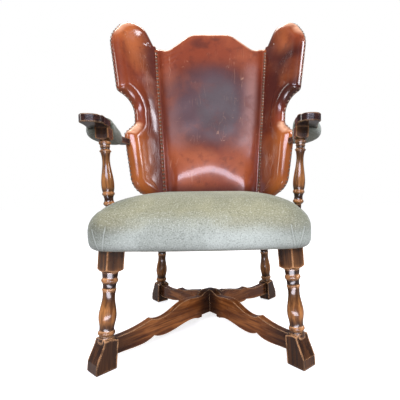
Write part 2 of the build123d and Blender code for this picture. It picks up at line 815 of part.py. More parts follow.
frame_draw = velvet + 2 * clearance + rail_gap
frame_chamfer = 13.0
frame_chamfer_rise = 28.0
top_chamfer = 7.0
top_chamfer_drop = 22.0
inner_front_y = seat_front_y + seat_front_bow + side_stock + frame_draw
inner_half_front = seat_half_width - frame_draw - side_stock
inner_half_rear = seat_rear_half - frame_draw - side_stock
front_joint_y = inner_front_y
rear_joint_y = rail_inner_y

frame_outlines = [
    (frame_bottom, seat_outline(frame_draw + frame_chamfer)),
    (frame_bottom + frame_chamfer_rise, seat_outline(frame_draw)),
    (frame_top - top_chamfer_drop, seat_outline(frame_draw)),
    (frame_top, seat_outline(frame_draw + top_chamfer)),
]

with BuildPart() as frame_ring:
    for z, outline in frame_outlines:
        with BuildSketch(Plane.XY.offset(z)):
            make_face(outline.edges())
    loft(ruled=True)
    with BuildSketch(Plane.XY.offset(frame_bottom)):
        with BuildLine():
            Polyline((inner_half_front, inner_front_y), (inner_half_rear, rail_inner_y),
                     (-inner_half_rear, rail_inner_y), (-inner_half_front, inner_front_y), close=True)
        make_face()
    extrude(amount=frame_top - frame_bottom, mode=Mode.SUBTRACT)


def leg_pin_hole(foot_x, foot_y):
    """Space of a leg's pin with its clearance."""
    with BuildPart() as hole:
        with BuildSketch(leg_plane(foot_x, foot_y).offset(block_z)):
            Circle(leg_pin_radius + clearance)
        extrude(amount=frame_bottom + leg_pin_length + clearance - block_z)
    return hole.part


pin_holes = [leg_pin_hole(side * x, y) for side in (1, -1)
             for x, y in ((front_foot_x, front_foot_y), (rear_foot_x, rear_foot_y))]


post_ring_z = 412.0
post_stem_radius = 9.0
post_pin_radius = 8.0
post_pin_length = 36.0
post_top_pin = 14.0
post_up = Vector(sin(radians(post_lean)), 0, cos(radians(post_lean)))
post_plane = Plane(origin=(post_x - (post_ring_z - frame_top) * tan(radians(post_lean)), post_y, frame_top),
                   x_dir=(post_up.Z, 0, -post_up.X), z_dir=post_up)

with BuildPart() as post_holes:
    with BuildSketch(post_plane):
        Circle(post_pin_radius + clearance)
    extrude(amount=-post_pin_length - clearance)
    with BuildSketch(post_plane):
        Circle(post_stem_radius + clearance)
    extrude(amount=post_ring_z - frame_top)
    mirror(about=Plane.YZ)

# Screws through the corner blocks into the rails
screw_radius = 2.2
screw_length = 46.0
screw_head_radius = 4.2
screw_head_length = 2.6
screw_reach = 62.0
screw_nose = 24.0


def rail(name, low_y, high_y, side):
    """A rail of the seat frame: the part of the ring between two Y values on one side."""
    with BuildPart() as piece:
        add(frame_ring.part)
        middle = (low_y + high_y) / 2
        x_middle = side * seat_half_width
        width = 2 * seat_half_width if side else 4 * seat_half_width
        with BuildSketch(Plane.XY.offset(frame_bottom)):
            with Locations((x_middle, middle)):
                Rectangle(width, high_y - low_y)
        extrude(amount=frame_top - frame_bottom, mode=Mode.INTERSECT)
        for hole in pin_holes:
            add(hole, mode=Mode.SUBTRACT)
        add(post_holes.part, mode=Mode.SUBTRACT)
        add(screw_holes.part, mode=Mode.SUBTRACT)
    finish(piece, name)


block_leg = 92.0
block_nose = 34.0
side_slope = (inner_half_rear - inner_half_front) / (rail_inner_y - inner_front_y)


def block_screw_planes(corner_x, corner_y, forward):
    """Where the two screws of a right-hand corner block start, heading into the rails."""
    z = frame_bottom + block_height / 2
    long_way = corner_y + forward * screw_reach
    short_way = corner_y + forward * screw_nose
    return [Plane(origin=(corner_x - screw_nose, long_way, z), z_dir=(1, 0, 0)),
            Plane(origin=(corner_x - screw_reach, short_way, z), z_dir=(0, -forward, 0))]


screw_planes = (block_screw_planes(inner_half_front, inner_front_y, 1)
                + block_screw_planes(inner_half_rear, rail_inner_y, -1))

with BuildPart() as screw_holes:
    for plane in screw_planes:
        with BuildSketch(plane.offset(-screw_length)):
            Circle(screw_radius + clearance)
        extrude(amount=2 * screw_length + clearance)
    mirror(about=Plane.YZ)

with BuildPart() as corner_block_screws:
    for plane in screw_planes:
        with BuildSketch(plane):
            Circle(screw_radius)
        extrude(amount=screw_length)
        with BuildSketch(plane):
            Circle(screw_head_radius)
        extrude(amount=-screw_head_length)
    mirror(about=Plane.YZ)
finish(corner_block_screws, "corner_block_screws")

rail("seat_rail_front", seat_front_y - overrun, front_joint_y, 0)
rail("seat_rail_rear", rear_joint_y, seat_rear_y + overrun, 0)
rail("seat_rail_right", front_joint_y, rear_joint_y, 1)
rail("seat_rail_left", front_joint_y, rear_joint_y, -1)


def corner_block(name, corner_x, corner_y, forward):
    """Glued block in a corner of the frame: forward is 1 at the front and -1 at the rear."""
    with BuildPart() as block:
        with BuildSketch(Plane.XY.offset(frame_bottom)):
            with BuildLine():
                near = corner_y + forward * block_leg
                near_x = corner_x + side_slope * forward * block_leg
                Polyline((corner_x, corner_y), (near_x, near), (near_x - block_nose, near),
                         (corner_x - block_leg, corner_y + forward * block_nose),
                         (corner_x - block_leg, corner_y), close=True)
            make_face()
        extrude(amount=block_height)
        for hole in pin_holes:
            add(hole, mode=Mode.SUBTRACT)
        add(screw_holes.part, mode=Mode.SUBTRACT)
        for plane in screw_planes:
            with BuildSketch(plane):
                Circle(screw_head_radius + clearance)
            extrude(amount=-screw_length, mode=Mode.SUBTRACT)
    finish_pair(block, name)


corner_block("corner_block_front", inner_half_front, inner_front_y, 1)
corner_block("corner_block_rear", inner_half_rear, rail_inner_y, -1)

# Black cloth under the seat
dust_half_x = 232.0
dust_corner = 78.0
dust_inset = 26.0
with BuildPart() as dust_cover:
    with BuildSketch(Plane.XY.offset(frame_bottom - clearance / 3)):
        with BuildLine():
            front_edge = seat_front_y + dust_inset + seat_front_bow
            rear_edge = seat_rear_y - dust_inset
            right_side = [(dust_half_x - dust_corner, front_edge), (dust_half_x, front_edge + dust_corner),
                          (dust_half_x, rear_edge - dust_corner), (dust_half_x - dust_corner, rear_edge)]
            Polyline(*right_side, *[(-x, y) for x, y in reversed(right_side)], close=True)
        make_face()
    extrude(amount=-lining)
finish(dust_cover, "dust_cover")

# Seat springs: flat wire serpents from the front rail to the rear rail
spring_wire = 1.8
spring_half = 22.0
spring_turns = 12
spring_pitch_x = 58.0
spring_count = 5
spring_front_y = inner_front_y - side_stock / 2
spring_rear_y = rail_inner_y + rear_rail_stock / 2
clip_plate = 1.2
spring_z = frame_top + clip_plate + spring_wire + clearance

spring_step = (spring_rear_y - spring_front_y) / spring_turns
spring_run_shares = (0.1, 0.9)
spring_path_points = [(0, spring_front_y, spring_z)]
for turn in range(spring_turns):
    hand = 1 if turn % 2 else -1
    for share in spring_run_shares:
        y = spring_front_y + (turn + share) * spring_step
        spring_path_points.append((hand * spring_half, y, spring_z))
spring_path_points.append((0, spring_rear_y, spring_z))
spring_bend_share = 0.36
spring_radius = spring_step * spring_bend_share

with BuildPart() as one_spring:
    with BuildLine() as spring_line:
        FilletPolyline(*spring_path_points, radius=spring_radius)
    with BuildSketch(Plane(origin=spring_path_points[0], z_dir=spring_line.line % 0)):
        Circle(spring_wire)
    sweep()

spring_places = [(index - (spring_count - 1) / 2) * spring_pitch_x for index in range(spring_count)]

with BuildPart() as seat_springs:
    with Locations(*[(x, 0, 0) for x in spring_places]):
        add(one_spring.part)
finish(seat_springs, "seat_springs")

clip_length = 18.0
clip_width = 16.0
with BuildPart() as spring_clips:
    for y in (spring_front_y, spring_rear_y):
        for x in spring_places:
            with Locations((x, y, frame_top + clip_plate / 2)):
                Box(clip_width, clip_length, clip_plate)
finish(spring_clips, "spring_clips")

# Hessian over the springs, then the padding and the velvet cover
hessian_z = spring_z + spring_wire + clearance
hessian_draw = 16.0

back_space_front = between_seams(-corner_width - leather - 2 * clearance, frame_top, wing_top_z)
back_space_slab = back_slab(back_space_front, -2 * clearance, -overrun, from_outside=True)
back_space_crown = pad_form(2 * clearance)
with BuildPart() as back_space:
    add(back_space_slab)
    add(back_space_crown)

post_space_slab = back_slab(back_space_front, wing_pad_depth / 2, -overrun, from_outside=True)
post_space_middle = between_seams(post_width + clearance, frame_bottom, wing_top_z)
with BuildPart() as post_space:
    add(post_space_slab)
    extrude(post_space_middle.sketch, amount=2 * seat_half_depth, dir=(0, 1, 0), both=True,
            mode=Mode.SUBTRACT)

hessian_outline = seat_outline(hessian_draw)
with BuildPart() as seat_hessian:
    with BuildSketch(Plane.XY.offset(hessian_z)):
        make_face(hessian_outline.edges())
    extrude(amount=lining)
    add(post_space.part, mode=Mode.SUBTRACT)
    add(post_holes.part, mode=Mode.SUBTRACT)
finish(seat_hessian, "seat_hessian")

padding_z = hessian_z + lining + clearance
seat_padding_form = seat_form(velvet + clearance, velvet + clearance)
with BuildPart() as seat_padding:
    add(seat_padding_form)
    with BuildSketch(Plane.XY.offset(frame_bottom - overrun)):
        Rectangle(4 * seat_half_width, 4 * seat_half_depth)
    extrude(amount=padding_z - frame_bottom + overrun, mode=Mode.SUBTRACT)
    add(back_space.part, mode=Mode.SUBTRACT)
    add(wing_space.part, mode=Mode.SUBTRACT)
    mirror(wing_space.part, about=Plane.YZ, mode=Mode.SUBTRACT)
    add(post_holes.part, mode=Mode.SUBTRACT)
finish(seat_padding, "seat_padding")

cover_outer_form = seat_form(0, 0)
cover_inner_form = seat_form(velvet, velvet)
hem_outline = seat_outline(cover_rings[0][1] + velvet)
with BuildPart() as seat_cover:
    add(cover_outer_form)
    add(cover_inner_form, mode=Mode.SUBTRACT)
    with BuildSketch(Plane.XY.offset(hem_z - overrun)):
        make_face(hem_outline.edges())
    extrude(amount=overrun + velvet, mode=Mode.SUBTRACT)
    add(back_space.part, mode=Mode.SUBTRACT)
    add(wing_space.part, mode=Mode.SUBTRACT)
    mirror(wing_space.part, about=Plane.YZ, mode=Mode.SUBTRACT)
    add(post_holes.part, mode=Mode.SUBTRACT)
finish(seat_cover, "seat_cover")

# The arm posts

post_ring_radius = 15.5
post_cove_radius = 12.0
post_high_ring_radius = 16.8
post_belly_radius = 17.2
post_neck_radius = 10.7
post_collar_radius = 15.8
post_bead_radius = 13.6
post_top_ring_radius = 16.0
post_ring_half = 4.4
post_collar_half = 2.2
post_block_side = 36.0
post_block_low = 588.0
post_bend_share = 2 / 3
post_bend_rise_share = 0.2

# Heights on the post's axis above the floor
post_cove_z = 426.0
post_high_ring_z = 439.5
post_belly_z = 471.0
post_neck_z = 543.0
post_collar_z = 560.0
post_bead_z = 573.0
post_top_ring_z = 583.0


def up_post(z):
    """Distance along the post's axis, from the rail's top, at height z."""
    return (z - frame_top) / cos(radians(post_lean))


with BuildPart() as post_pommel:
    with BuildSketch(Plane.XZ):
        with BuildLine():
            low = up_post(post_block_low)
            high = up_post(arm_z) + overrun
            Polyline((post_cove_radius, low), (0, low), (0, high), (post_block_side, high),
                     (post_block_side, low + post_block_side / 2))
            ThreePointArc((post_block_side, low + post_block_side / 2),
                          (post_block_side * post_bend_share, low + post_block_side * post_bend_rise_share),
                          (post_cove_radius, low))
        make_face()
    revolve(axis=Axis.Z)

with BuildPart() as post_block:
    with BuildSketch(Plane.XY.offset(up_post(post_block_low) - overrun / 2)):
        Rectangle(post_block_side, post_block_side)
    extrude(amount=up_post(arm_z) - up_post(post_block_low) + overrun)
    add(post_pommel.part, mode=Mode.INTERSECT)

with BuildPart() as post_turning:
    with BuildSketch(Plane.XZ):
        with BuildLine():
            ring_root = post_ring_radius - post_ring_half / 2
            high_root = post_high_ring_radius - post_ring_half / 2
            collar_root = post_collar_radius - post_collar_half
            Polyline((0, -post_pin_length), (post_pin_radius, -post_pin_length), (post_pin_radius, 0),
                     (post_stem_radius, 0), (post_stem_radius, up_post(post_ring_z) - 2 * post_ring_half),
                     (ring_root, up_post(post_ring_z) - post_ring_half))
            add_ring(up_post(post_ring_z), post_ring_radius, post_ring_half, ring_root)
            ThreePointArc((ring_root, up_post(post_ring_z) + post_ring_half),
                          (post_cove_radius, up_post(post_cove_z)),
                          (high_root, up_post(post_high_ring_z) - post_ring_half))
            add_ring(up_post(post_high_ring_z), post_high_ring_radius, post_ring_half, high_root)
            Spline((high_root, up_post(post_high_ring_z) + post_ring_half),
                   (post_belly_radius, up_post(post_belly_z)), (post_neck_radius, up_post(post_neck_z)),
                   (collar_root, up_post(post_collar_z) - post_collar_half))
            add_ring(up_post(post_collar_z), post_collar_radius, post_collar_half, collar_root)
            ThreePointArc((collar_root, up_post(post_collar_z) + post_collar_half),
                          (post_cove_radius, up_post(post_bead_z) - 2 * post_collar_half),
                          (post_bead_radius - post_collar_half / 2, up_post(post_bead_z) - post_collar_half))
            add_ring(up_post(post_bead_z), post_bead_radius, post_collar_half,
                     post_bead_radius - post_collar_half / 2)
            Line((post_bead_radius - post_collar_half / 2, up_post(post_bead_z) + post_collar_half),
                 (post_top_ring_radius - post_collar_half, up_post(post_top_ring_z) - post_ring_half))
            add_ring(up_post(post_top_ring_z), post_top_ring_radius, post_ring_half,
                     post_top_ring_radius - post_collar_half)
            Polyline((post_top_ring_radius - post_collar_half, up_post(post_top_ring_z) + post_ring_half),
                     (post_cove_radius, up_post(post_block_low)),
                     (post_cove_radius, up_post(post_block_low) + post_collar_half),
                     (0, up_post(post_block_low) + post_collar_half), (0, -post_pin_length))
        make_face()
    revolve(axis=Axis.Z)

with BuildPart() as arm_post:
    with Locations(Location(post_plane)):
        add(post_turning.part)
        add(post_block.part)
    with Locations((post_x, post_y, arm_z + 2 * overrun)):
        Box(4 * overrun, 4 * overrun, 4 * overrun, mode=Mode.SUBTRACT)
    with BuildSketch(post_plane.offset(up_post(post_block_low))):
        Circle(post_pin_radius)
    extrude(amount=up_post(arm_z) - up_post(post_block_low) + post_top_pin)
finish_pair(arm_post, "arm_post")

# The arms: a level board, seen from above as shares of its bow and its length

arm_post_inset = 10.0
arm_dowel_inset = 49.3
arm_front_x = post_x - arm_post_inset
arm_rear_x = dowel_middle.X - arm_dowel_inset
arm_bow = 100.0
arm_nose = 75.0
arm_front_y = post_y - arm_nose
arm_tail = 3.8
arm_length = dowel_middle.Y - arm_tail - arm_front_y
arm_chamfer = 2.0
arm_front_shares = [(0.0, 0.1), (0.1, 0.01), (0.5, -0.004), (0.59, 0.03)]
arm_outer_shares = [
    (0.59, 0.03), (0.61, 0.14), (0.79, 0.32), (0.92, 0.5), (0.9, 0.7), (0.8, 0.86), (0.68, 1.0),
]
arm_inner_shares = [
    (0.27, 1.0), (0.42, 0.86), (0.43, 0.74), (0.34, 0.55), (0.2, 0.4), (0.04, 0.25), (0.0, 0.1),
]


def on_arm(shares):
    """Plan points of the right arm, from the line between its front and rear inner ends."""
    return [(arm_front_x + (arm_rear_x - arm_front_x) * back + arm_bow * out,
             arm_front_y + arm_length * back) for out, back in shares]


with BuildPart() as arm_dowel:
    with BuildSketch(Plane(origin=dowel_middle, z_dir=wing_out)):
        Circle(dowel_radius)
    extrude(amount=dowel_half, both=True)
finish_pair(arm_dowel, "arm_dowel")

with BuildPart() as arm_blank:
    with BuildSketch(Plane.XY.offset(arm_z)):
        with BuildLine():
            Spline(on_arm(arm_front_shares))
            Spline(on_arm(arm_outer_shares))
            Line(on_arm(arm_outer_shares)[-1], on_arm(arm_inner_shares)[0])
            Spline(on_arm(arm_inner_shares))
        make_face()
    extrude(amount=arm_thickness)

with BuildPart() as arm:
    add(arm_blank.part)
    chamfer(arm.faces().sort_by(Axis.Z)[-1].edges() + arm.faces().sort_by(Axis.Z)[0].edges(), arm_chamfer)
    add(wing_space.part, mode=Mode.SUBTRACT)
    add(dowel_hole.part, mode=Mode.SUBTRACT)
    with BuildSketch(post_plane.offset(up_post(arm_z) - overrun)):
        Circle(post_pin_radius + clearance)
    extrude(amount=overrun + post_top_pin + clearance, mode=Mode.SUBTRACT)
finish_pair(arm, "arm")

# The velvet pads that wrap the arms: height and how far the outline draws in there
pad_side = 50.5
pad_middle_share = 0.5057
pad_half_share = 0.3
pad_middle_x = (arm_front_x + arm_rear_x) / 2 + pad_side
pad_middle_y = arm_front_y + arm_length * pad_middle_share
pad_half_width = 53.0
pad_half_length = arm_length * pad_half_share
arm_pad_rings = [
    (611.0, 16.0), (613.0, 8.0), (618.0, 3.0), (627.0, 0.5), (638.0, 1.0), (647.0, 5.0), (655.0, 12.0),
    (661.0, 22.0), (663.5, 34.0),
]
arm_pad_shares = [
    (-0.99, -0.83), (-0.32, -1.0), (0.45, -0.83), (1.0, -0.08), (0.77, 0.83), (0.3, 1.0),
    (-0.33, 0.85), (-0.66, 0.0),
]


def arm_pad_outline(inset):
    """Closed plan outline of an arm pad, drawn in by inset."""
    points = [(pad_middle_x + (pad_half_width - inset) * out, pad_middle_y + (pad_half_length - inset) * back)
              for out, back in arm_pad_shares]
    points.append(points[0])
    with BuildLine() as line:
        for start in range(0, len(arm_pad_shares), 2):
            ThreePointArc(*points[start:start + 3])
    return line.line


arm_pad_outlines = [(z, arm_pad_outline(inset)) for z, inset in arm_pad_rings]
with BuildPart() as arm_pad:
    for z, outline in arm_pad_outlines:
        with BuildSketch(Plane.XY.offset(z)):
            make_face(outline.edges())
    loft()
    add(arm_blank.part, mode=Mode.SUBTRACT)
    with BuildSketch(post_plane.offset(up_post(post_block_low))):
        Rectangle(post_block_side + 2 * clearance, post_block_side + 2 * clearance)
    extrude(amount=up_post(arm_z + arm_thickness / 2) - up_post(post_block_low), mode=Mode.SUBTRACT)
finish_pair(arm_pad, "arm_pad")

# Round nails: a row on a welt down each seam, and a row round each wing's outer edge

welt_half = 6.0
nail_radius = 5.2
nail_rise = 3.4
edge_nail_radius = 4.6
edge_nail_rise = 3.0
left_nail_pitch = 15.4
right_nail_pitch = 13.0
edge_nail_pitch = 15.4
nail_low_z = 446.0
welt_low_z = 436.0
welt_high_z = pad_high_z
nail_crown_share = 0.24
nail_swell_share = 0.68


def nail_head(radius, rise):
    """Domed nail head, flat side on the XY plane."""
    with BuildPart() as head:
        with BuildSketch(Plane.XZ):
            with BuildLine():
                crown = radius * nail_crown_share
                Polyline((crown, rise), (0, rise), (0, 0), (radius, 0))
                swell = ((radius + crown) * nail_swell_share, rise * nail_swell_share)
                ThreePointArc((radius, 0), swell, (crown, rise))
            make_face()
        revolve(axis=Axis.Z)
    return head.part


back_face = back_plane.z_dir
welt_face = (back_face + wing_face).normalized()
welt_across = welt_face.cross(seam_up).normalized()
welt_depth = welt_half * tan(radians(back_face.get_angle(wing_face)) / 2)

with BuildPart() as seam_welt:
    with BuildSketch(Plane(origin=seam_point(welt_low_z), x_dir=welt_across, z_dir=seam_up)):
        with BuildLine():
            Polyline((0, clearance / 2), (welt_half, welt_depth), (-welt_half, welt_depth), close=True)
        make_face()
    extrude(amount=(seam_point(welt_high_z) - seam_point(welt_low_z)).length)
finish_pair(seam_welt, "seam_welt")


def seam_nail_places(pitch):
    """Where the nails of the right-hand seam stand, pitch apart."""
    low = seam_point(nail_low_z)
    count = int((seam_point(welt_high_z) - low).length / pitch)
    step = seam_up * pitch
    lift = welt_face * (welt_depth + clearance / 3)
    return [Location(Plane(origin=low + step * index + lift, z_dir=welt_face)) for index in range(count)]


def wing_nail_places():
    """Where the nails stand round the right wing's outer edge, clear of the seat and of the arm."""
    face = wing_sketch(wing_board_depth - edge_nail_radius - leather, 0).sketch.faces()[0]
    rim = Wire(face.edges().sort_by(SortBy.LENGTH)[:-1])
    count = int(rim.length / edge_nail_pitch)
    shares = [(index + 1 / 2) / count for index in range(count)]
    # The rim's outermost point tells which of its two sides is the outer one
    far_share = max(shares, key=lambda share: wing_plane.to_local_coords(rim @ share).X)
    sense = 1 if (rim % far_share).cross(wing_face).dot(wing_out) > 0 else -1
    places = []
    for share in shares:
        spot = rim @ share
        outward = (rim % share).cross(wing_face).normalized() * sense
        at_arm = arm_z - 2 * edge_nail_radius < spot.Z < arm_z + arm_thickness + 2 * edge_nail_radius
        if spot.Z > nail_low_z and not at_arm:
            places.append(Location(Plane(origin=spot + outward * 2 * clearance, z_dir=outward)))
    return places


seam_head = nail_head(nail_radius, nail_rise)
edge_head = nail_head(edge_nail_radius, edge_nail_rise)

with BuildPart() as seam_nails_right:
    with Locations(*seam_nail_places(right_nail_pitch)):
        add(seam_head)
finish(seam_nails_right, "seam_nails_right")

with BuildPart() as seam_nails_model:
    with Locations(*seam_nail_places(left_nail_pitch)):
        add(seam_head)
with BuildPart() as seam_nails_left:
    mirror(seam_nails_model.part, about=Plane.YZ)
finish(seam_nails_left, "seam_nails_left")

with BuildPart() as wing_edge_nails:
    with Locations(*wing_nail_places()):
        add(edge_head)
finish_pair(wing_edge_nails, "wing_edge_nails")
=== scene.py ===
import bmesh
import bpy
import math
from collections import Counter
from mathutils import Matrix, Vector, noise
from mathutils.geometry import delaunay_2d_cdt


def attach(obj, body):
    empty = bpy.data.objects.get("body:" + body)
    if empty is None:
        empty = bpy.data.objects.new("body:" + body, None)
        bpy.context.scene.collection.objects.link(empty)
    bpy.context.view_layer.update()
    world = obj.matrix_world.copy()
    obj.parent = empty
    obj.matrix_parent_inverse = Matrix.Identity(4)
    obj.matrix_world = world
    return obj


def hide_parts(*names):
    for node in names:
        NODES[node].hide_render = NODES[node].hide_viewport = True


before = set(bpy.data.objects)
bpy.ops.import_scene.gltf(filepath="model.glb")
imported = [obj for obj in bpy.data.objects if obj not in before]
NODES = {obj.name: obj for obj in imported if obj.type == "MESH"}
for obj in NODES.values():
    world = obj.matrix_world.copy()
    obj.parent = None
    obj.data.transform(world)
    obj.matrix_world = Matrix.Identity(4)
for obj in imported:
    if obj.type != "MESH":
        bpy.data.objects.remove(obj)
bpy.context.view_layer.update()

# Lengths in metres, in the frame of the chair: the floor is z = 0 and the front is towards -Y
MM = 0.001

SIDES = ((1, "right"), (-1, "left"))
UP = Vector((0, 0, 1))


# The camera, as it stood for the photograph

CAMERA_PLACE = Vector((0.0770, -1.0669, 0.4202))
CAMERA_YAW = -1.6
CAMERA_PITCH = 1.9
CAMERA_ROLL = -0.7
FOCAL_LENGTH = 28.36
SENSOR_WIDTH = 36.0
CENTRE_SHIFT_X = -0.1005
CENTRE_SHIFT_Y = 0.0238


def make_camera():
    """Camera with the photograph's place, direction, lens and small shift."""
    pitch = math.radians(CAMERA_PITCH)
    yaw = Matrix.Rotation(math.radians(CAMERA_YAW), 3, "Z")
    forward = yaw @ Vector((0, math.cos(pitch), -math.sin(pitch)))
    right = yaw @ Vector((1, 0, 0))
    up = right.cross(forward)
    roll = math.radians(CAMERA_ROLL)
    right, up = (math.cos(roll) * right + math.sin(roll) * up,
                 math.cos(roll) * up - math.sin(roll) * right)
    data = bpy.data.cameras.new("camera")
    data.lens = FOCAL_LENGTH
    data.sensor_width = SENSOR_WIDTH
    data.shift_x = CENTRE_SHIFT_X
    data.shift_y = CENTRE_SHIFT_Y
    camera = bpy.data.objects.new("camera", data)
    bpy.context.scene.collection.objects.link(camera)
    turn = Matrix((right, up, -forward)).transposed().to_4x4()
    camera.matrix_world = Matrix.Translation(CAMERA_PLACE) @ turn
    bpy.context.scene.camera = camera


# The chair's main places, on its right side where there are two

# Where the axes of the legs and arm posts start, and how far they lean
LEG_LEAN = math.radians(5.3)
FRONT_FOOT = Vector((0.2446, -0.2865, 0.0))
REAR_FOOT = Vector((0.2236, 0.2501, 0.0))
POST_FOOT = Vector((0.26911, -0.158, 0.372))
POST_LEAN = math.radians(2.7)

# How far the corners of their square blocks lie from the axis
LEG_CORNER = 32.5 * MM
POST_CORNER = 25.4 * MM

# Where the stretchers cross, on the floor plan
CROSSING = Vector((0.0, FRONT_FOOT.y + (REAR_FOOT.y - FRONT_FOOT.y) * FRONT_FOOT.x
                   / (FRONT_FOOT.x + REAR_FOOT.x), 0.0))

# The seam between the back and the wing
SEAM_LOW = Vector((0.186, 0.186, 0.449))
SEAM_HIGH = Vector((0.228, 0.269, 1.044))
SEAM_UP = (SEAM_HIGH - SEAM_LOW).normalized()
SEAM_SLOPE = 0.0706

# The wing's plane: out from the seam, up along it, and the way its inner side faces
WING_FLARE = math.radians(48.5)
WING_OUT = Vector((math.cos(WING_FLARE), -math.sin(WING_FLARE), 0.0))
WING_FACE = WING_OUT.cross(SEAM_UP).normalized()
WING_RISE = WING_FACE.cross(WING_OUT).normalized()

# The back's plane, as seen from the side
BACK_UP = Vector((0.0, SEAM_HIGH.y - SEAM_LOW.y, SEAM_HIGH.z - SEAM_LOW.z)).normalized()
BACK_FACE = Vector((0.0, -BACK_UP.z, BACK_UP.y))


def mirrored(point, side):
    """A point of the right side, or its twin on the left where side is -1."""
    return Vector((point.x * side, point.y, point.z))


def seam_at(z):
    """Point of the right seam at a height."""
    share = (z - SEAM_LOW.z) / (SEAM_HIGH.z - SEAM_LOW.z)
    return SEAM_LOW.lerp(SEAM_HIGH, share)


# Node-building helpers for materials

class Shader:
    """One material's node tree, with short calls for the nodes used here."""

    def __init__(self, name):
        self.material = bpy.data.materials.new(name)
        self.material.use_nodes = True
        self.tree = self.material.node_tree
        self.tree.nodes.clear()
        output = self.node("OutputMaterial")
        self.bsdf = self.node("BsdfPrincipled")
        self.tree.links.new(self.bsdf.outputs[0], output.inputs[0])
        geometry = self.node("NewGeometry")
        self.position = geometry.outputs["Position"]
        self.normal = geometry.outputs["Normal"]
        self.pointiness = geometry.outputs["Pointiness"]
        self.x, self.y, self.z = self.node("SeparateXYZ", {0: self.position}).outputs

    def node(self, kind, inputs=None, **settings):
        """New node with its settings, and a value or a link for each input that is given."""
        node = self.tree.nodes.new(f"ShaderNode{kind}")
        for name, value in settings.items():
            setattr(node, name, value)
        for key, value in (inputs or {}).items():
            self.put(node.inputs[key], value)
        return node

    def put(self, socket, value):
        """Link or set one input socket; a colour gets its alpha here."""
        if isinstance(value, bpy.types.NodeSocket):
            self.tree.links.new(value, socket)
        elif socket.type == "RGBA":
            socket.default_value = (*value, 1.0)
        else:
            socket.default_value = value

    def maths(self, operation, a, b=0.0):
        """Result of one operation on numbers."""
        return self.node("Math", {0: a, 1: b}, operation=operation).outputs[0]

    def times(self, first, *others):
        """Product of numbers."""
        for other in others:
            first = self.maths("MULTIPLY", first, other)
        return first

    def minus(self, a, b):
        """Difference of two numbers."""
        return self.maths("SUBTRACT", a, b)

    def absolute(self, a):
        """A number without its sign."""
        return self.maths("ABSOLUTE", a)

    def vector(self, operation, a, b=(0, 0, 0)):
        """Result of one operation on vectors, which is a number for a dot product or a length."""
        node = self.node("VectorMath", {0: a, 1: b}, operation=operation)
        return node.outputs["Value" if operation in ("DOT_PRODUCT", "LENGTH") else "Vector"]

    def along(self, direction, length):
        """A fixed direction times a length."""
        return self.node("VectorMath", {0: direction, "Scale": length}, operation="SCALE").outputs["Vector"]

    def stretch(self, scale, turn=(0, 0, 0)):
        """Position, turned and scaled so that a texture runs along one direction."""
        return self.node("Mapping", {"Vector": self.position, "Scale": scale, "Rotation": turn}).outputs[0]

    def squeezed(self, direction, share):
        """Position with its run along a direction squeezed, so that a texture streaks that way."""
        run = self.times(self.vector("DOT_PRODUCT", self.position, direction), 1 - share)
        return self.vector("SUBTRACT", self.position, self.along(direction, run))

    def edges(self, radius):
        """High where the form turns sharply within a radius."""
        softened = self.node("Bevel", {"Radius": radius}, samples=4).outputs[0]
        return self.minus(1.0, self.vector("DOT_PRODUCT", softened, self.normal))

    def hollows(self, reach):
        """High in corners and grooves, where little light comes in."""
        return self.minus(1.0, self.node("AmbientOcclusion", {"Distance": reach}, samples=4).outputs["AO"])

    def facing_up(self):
        """One where the surface faces up, nothing where it stands upright."""
        return self.node("SeparateXYZ", {0: self.normal}).outputs[2]

    def oval(self, place, sizes):
        """One inside an oval, seen from the front, falling to nothing at its edge."""
        parts = []
        for value, middle, size in zip((self.x, self.z), place, sizes):
            part = self.maths("DIVIDE", self.minus(value, middle), size)
            parts.append(self.times(part, part))
        return self.band(self.maths("ADD", *parts), 1.0, 0.3)

    def line_gap(self, low, high):
        """Distance from a straight line between two places and from its mirror image, seen from the front."""
        run = Vector(high) - Vector(low)
        length = run.length
        dx = self.minus(self.absolute(self.x), low[0])
        dz = self.minus(self.z, low[1])
        along = self.maths("ADD", self.times(dx, run.x / length), self.times(dz, run.y / length))
        off = self.minus(self.times(dx, run.y / length), self.times(dz, run.x / length))
        past = self.maths("MAXIMUM", self.minus(along, length), self.times(along, -1.0))
        return self.maths("MAXIMUM", self.absolute(off), past)

    def noise(self, scale, detail, rough, at=None, warp=0.0):
        """Soft random pattern, with about scale features a metre."""
        return self.node("TexNoise", {"Vector": at or self.position, "Scale": scale, "Detail": detail,
                                      "Roughness": rough, "Distortion": warp}).outputs[0]

    def cells(self, scale, feature="F1"):
        """Distance within a pattern of cells, with about scale cells a metre."""
        return self.node("TexVoronoi", {"Vector": self.position, "Scale": scale},
                         feature=feature).outputs["Distance"]

    def band(self, value, low, high, at_low=0.0, at_high=1.0):
        """Value run through a smooth step from low to high."""
        return self.node("MapRange", {"Value": value, "From Min": low, "From Max": high, "To Min": at_low,
                                      "To Max": at_high}, interpolation_type="SMOOTHSTEP").outputs[0]

    def mix(self, share, a, b):
        """Blend of two colours, which are sockets 6 and 7 of the node."""
        return self.node("Mix", {0: share, 6: a, 7: b}, data_type="RGBA").outputs[2]

    def bump(self, height, strength, distance, below=None):
        """Normal raised by a height, on top of another where one is given."""
        inputs = {"Strength": strength, "Distance": distance, "Height": height}
        if below is not None:
            inputs["Normal"] = below
        return self.node("Bump", inputs).outputs[0]

    def finish(self, colour, rough, normal=None, **sockets):
        """Give the surface its colour, roughness, normal and other inputs."""
        self.put(self.bsdf.inputs["Base Color"], colour)
        self.put(self.bsdf.inputs["Roughness"], rough)
        if normal is not None:
            self.put(self.bsdf.inputs["Normal"], normal)
        for name, value in sockets.items():
            self.put(self.bsdf.inputs[name.replace("_", " ")], value)
        return self.material


# Wood

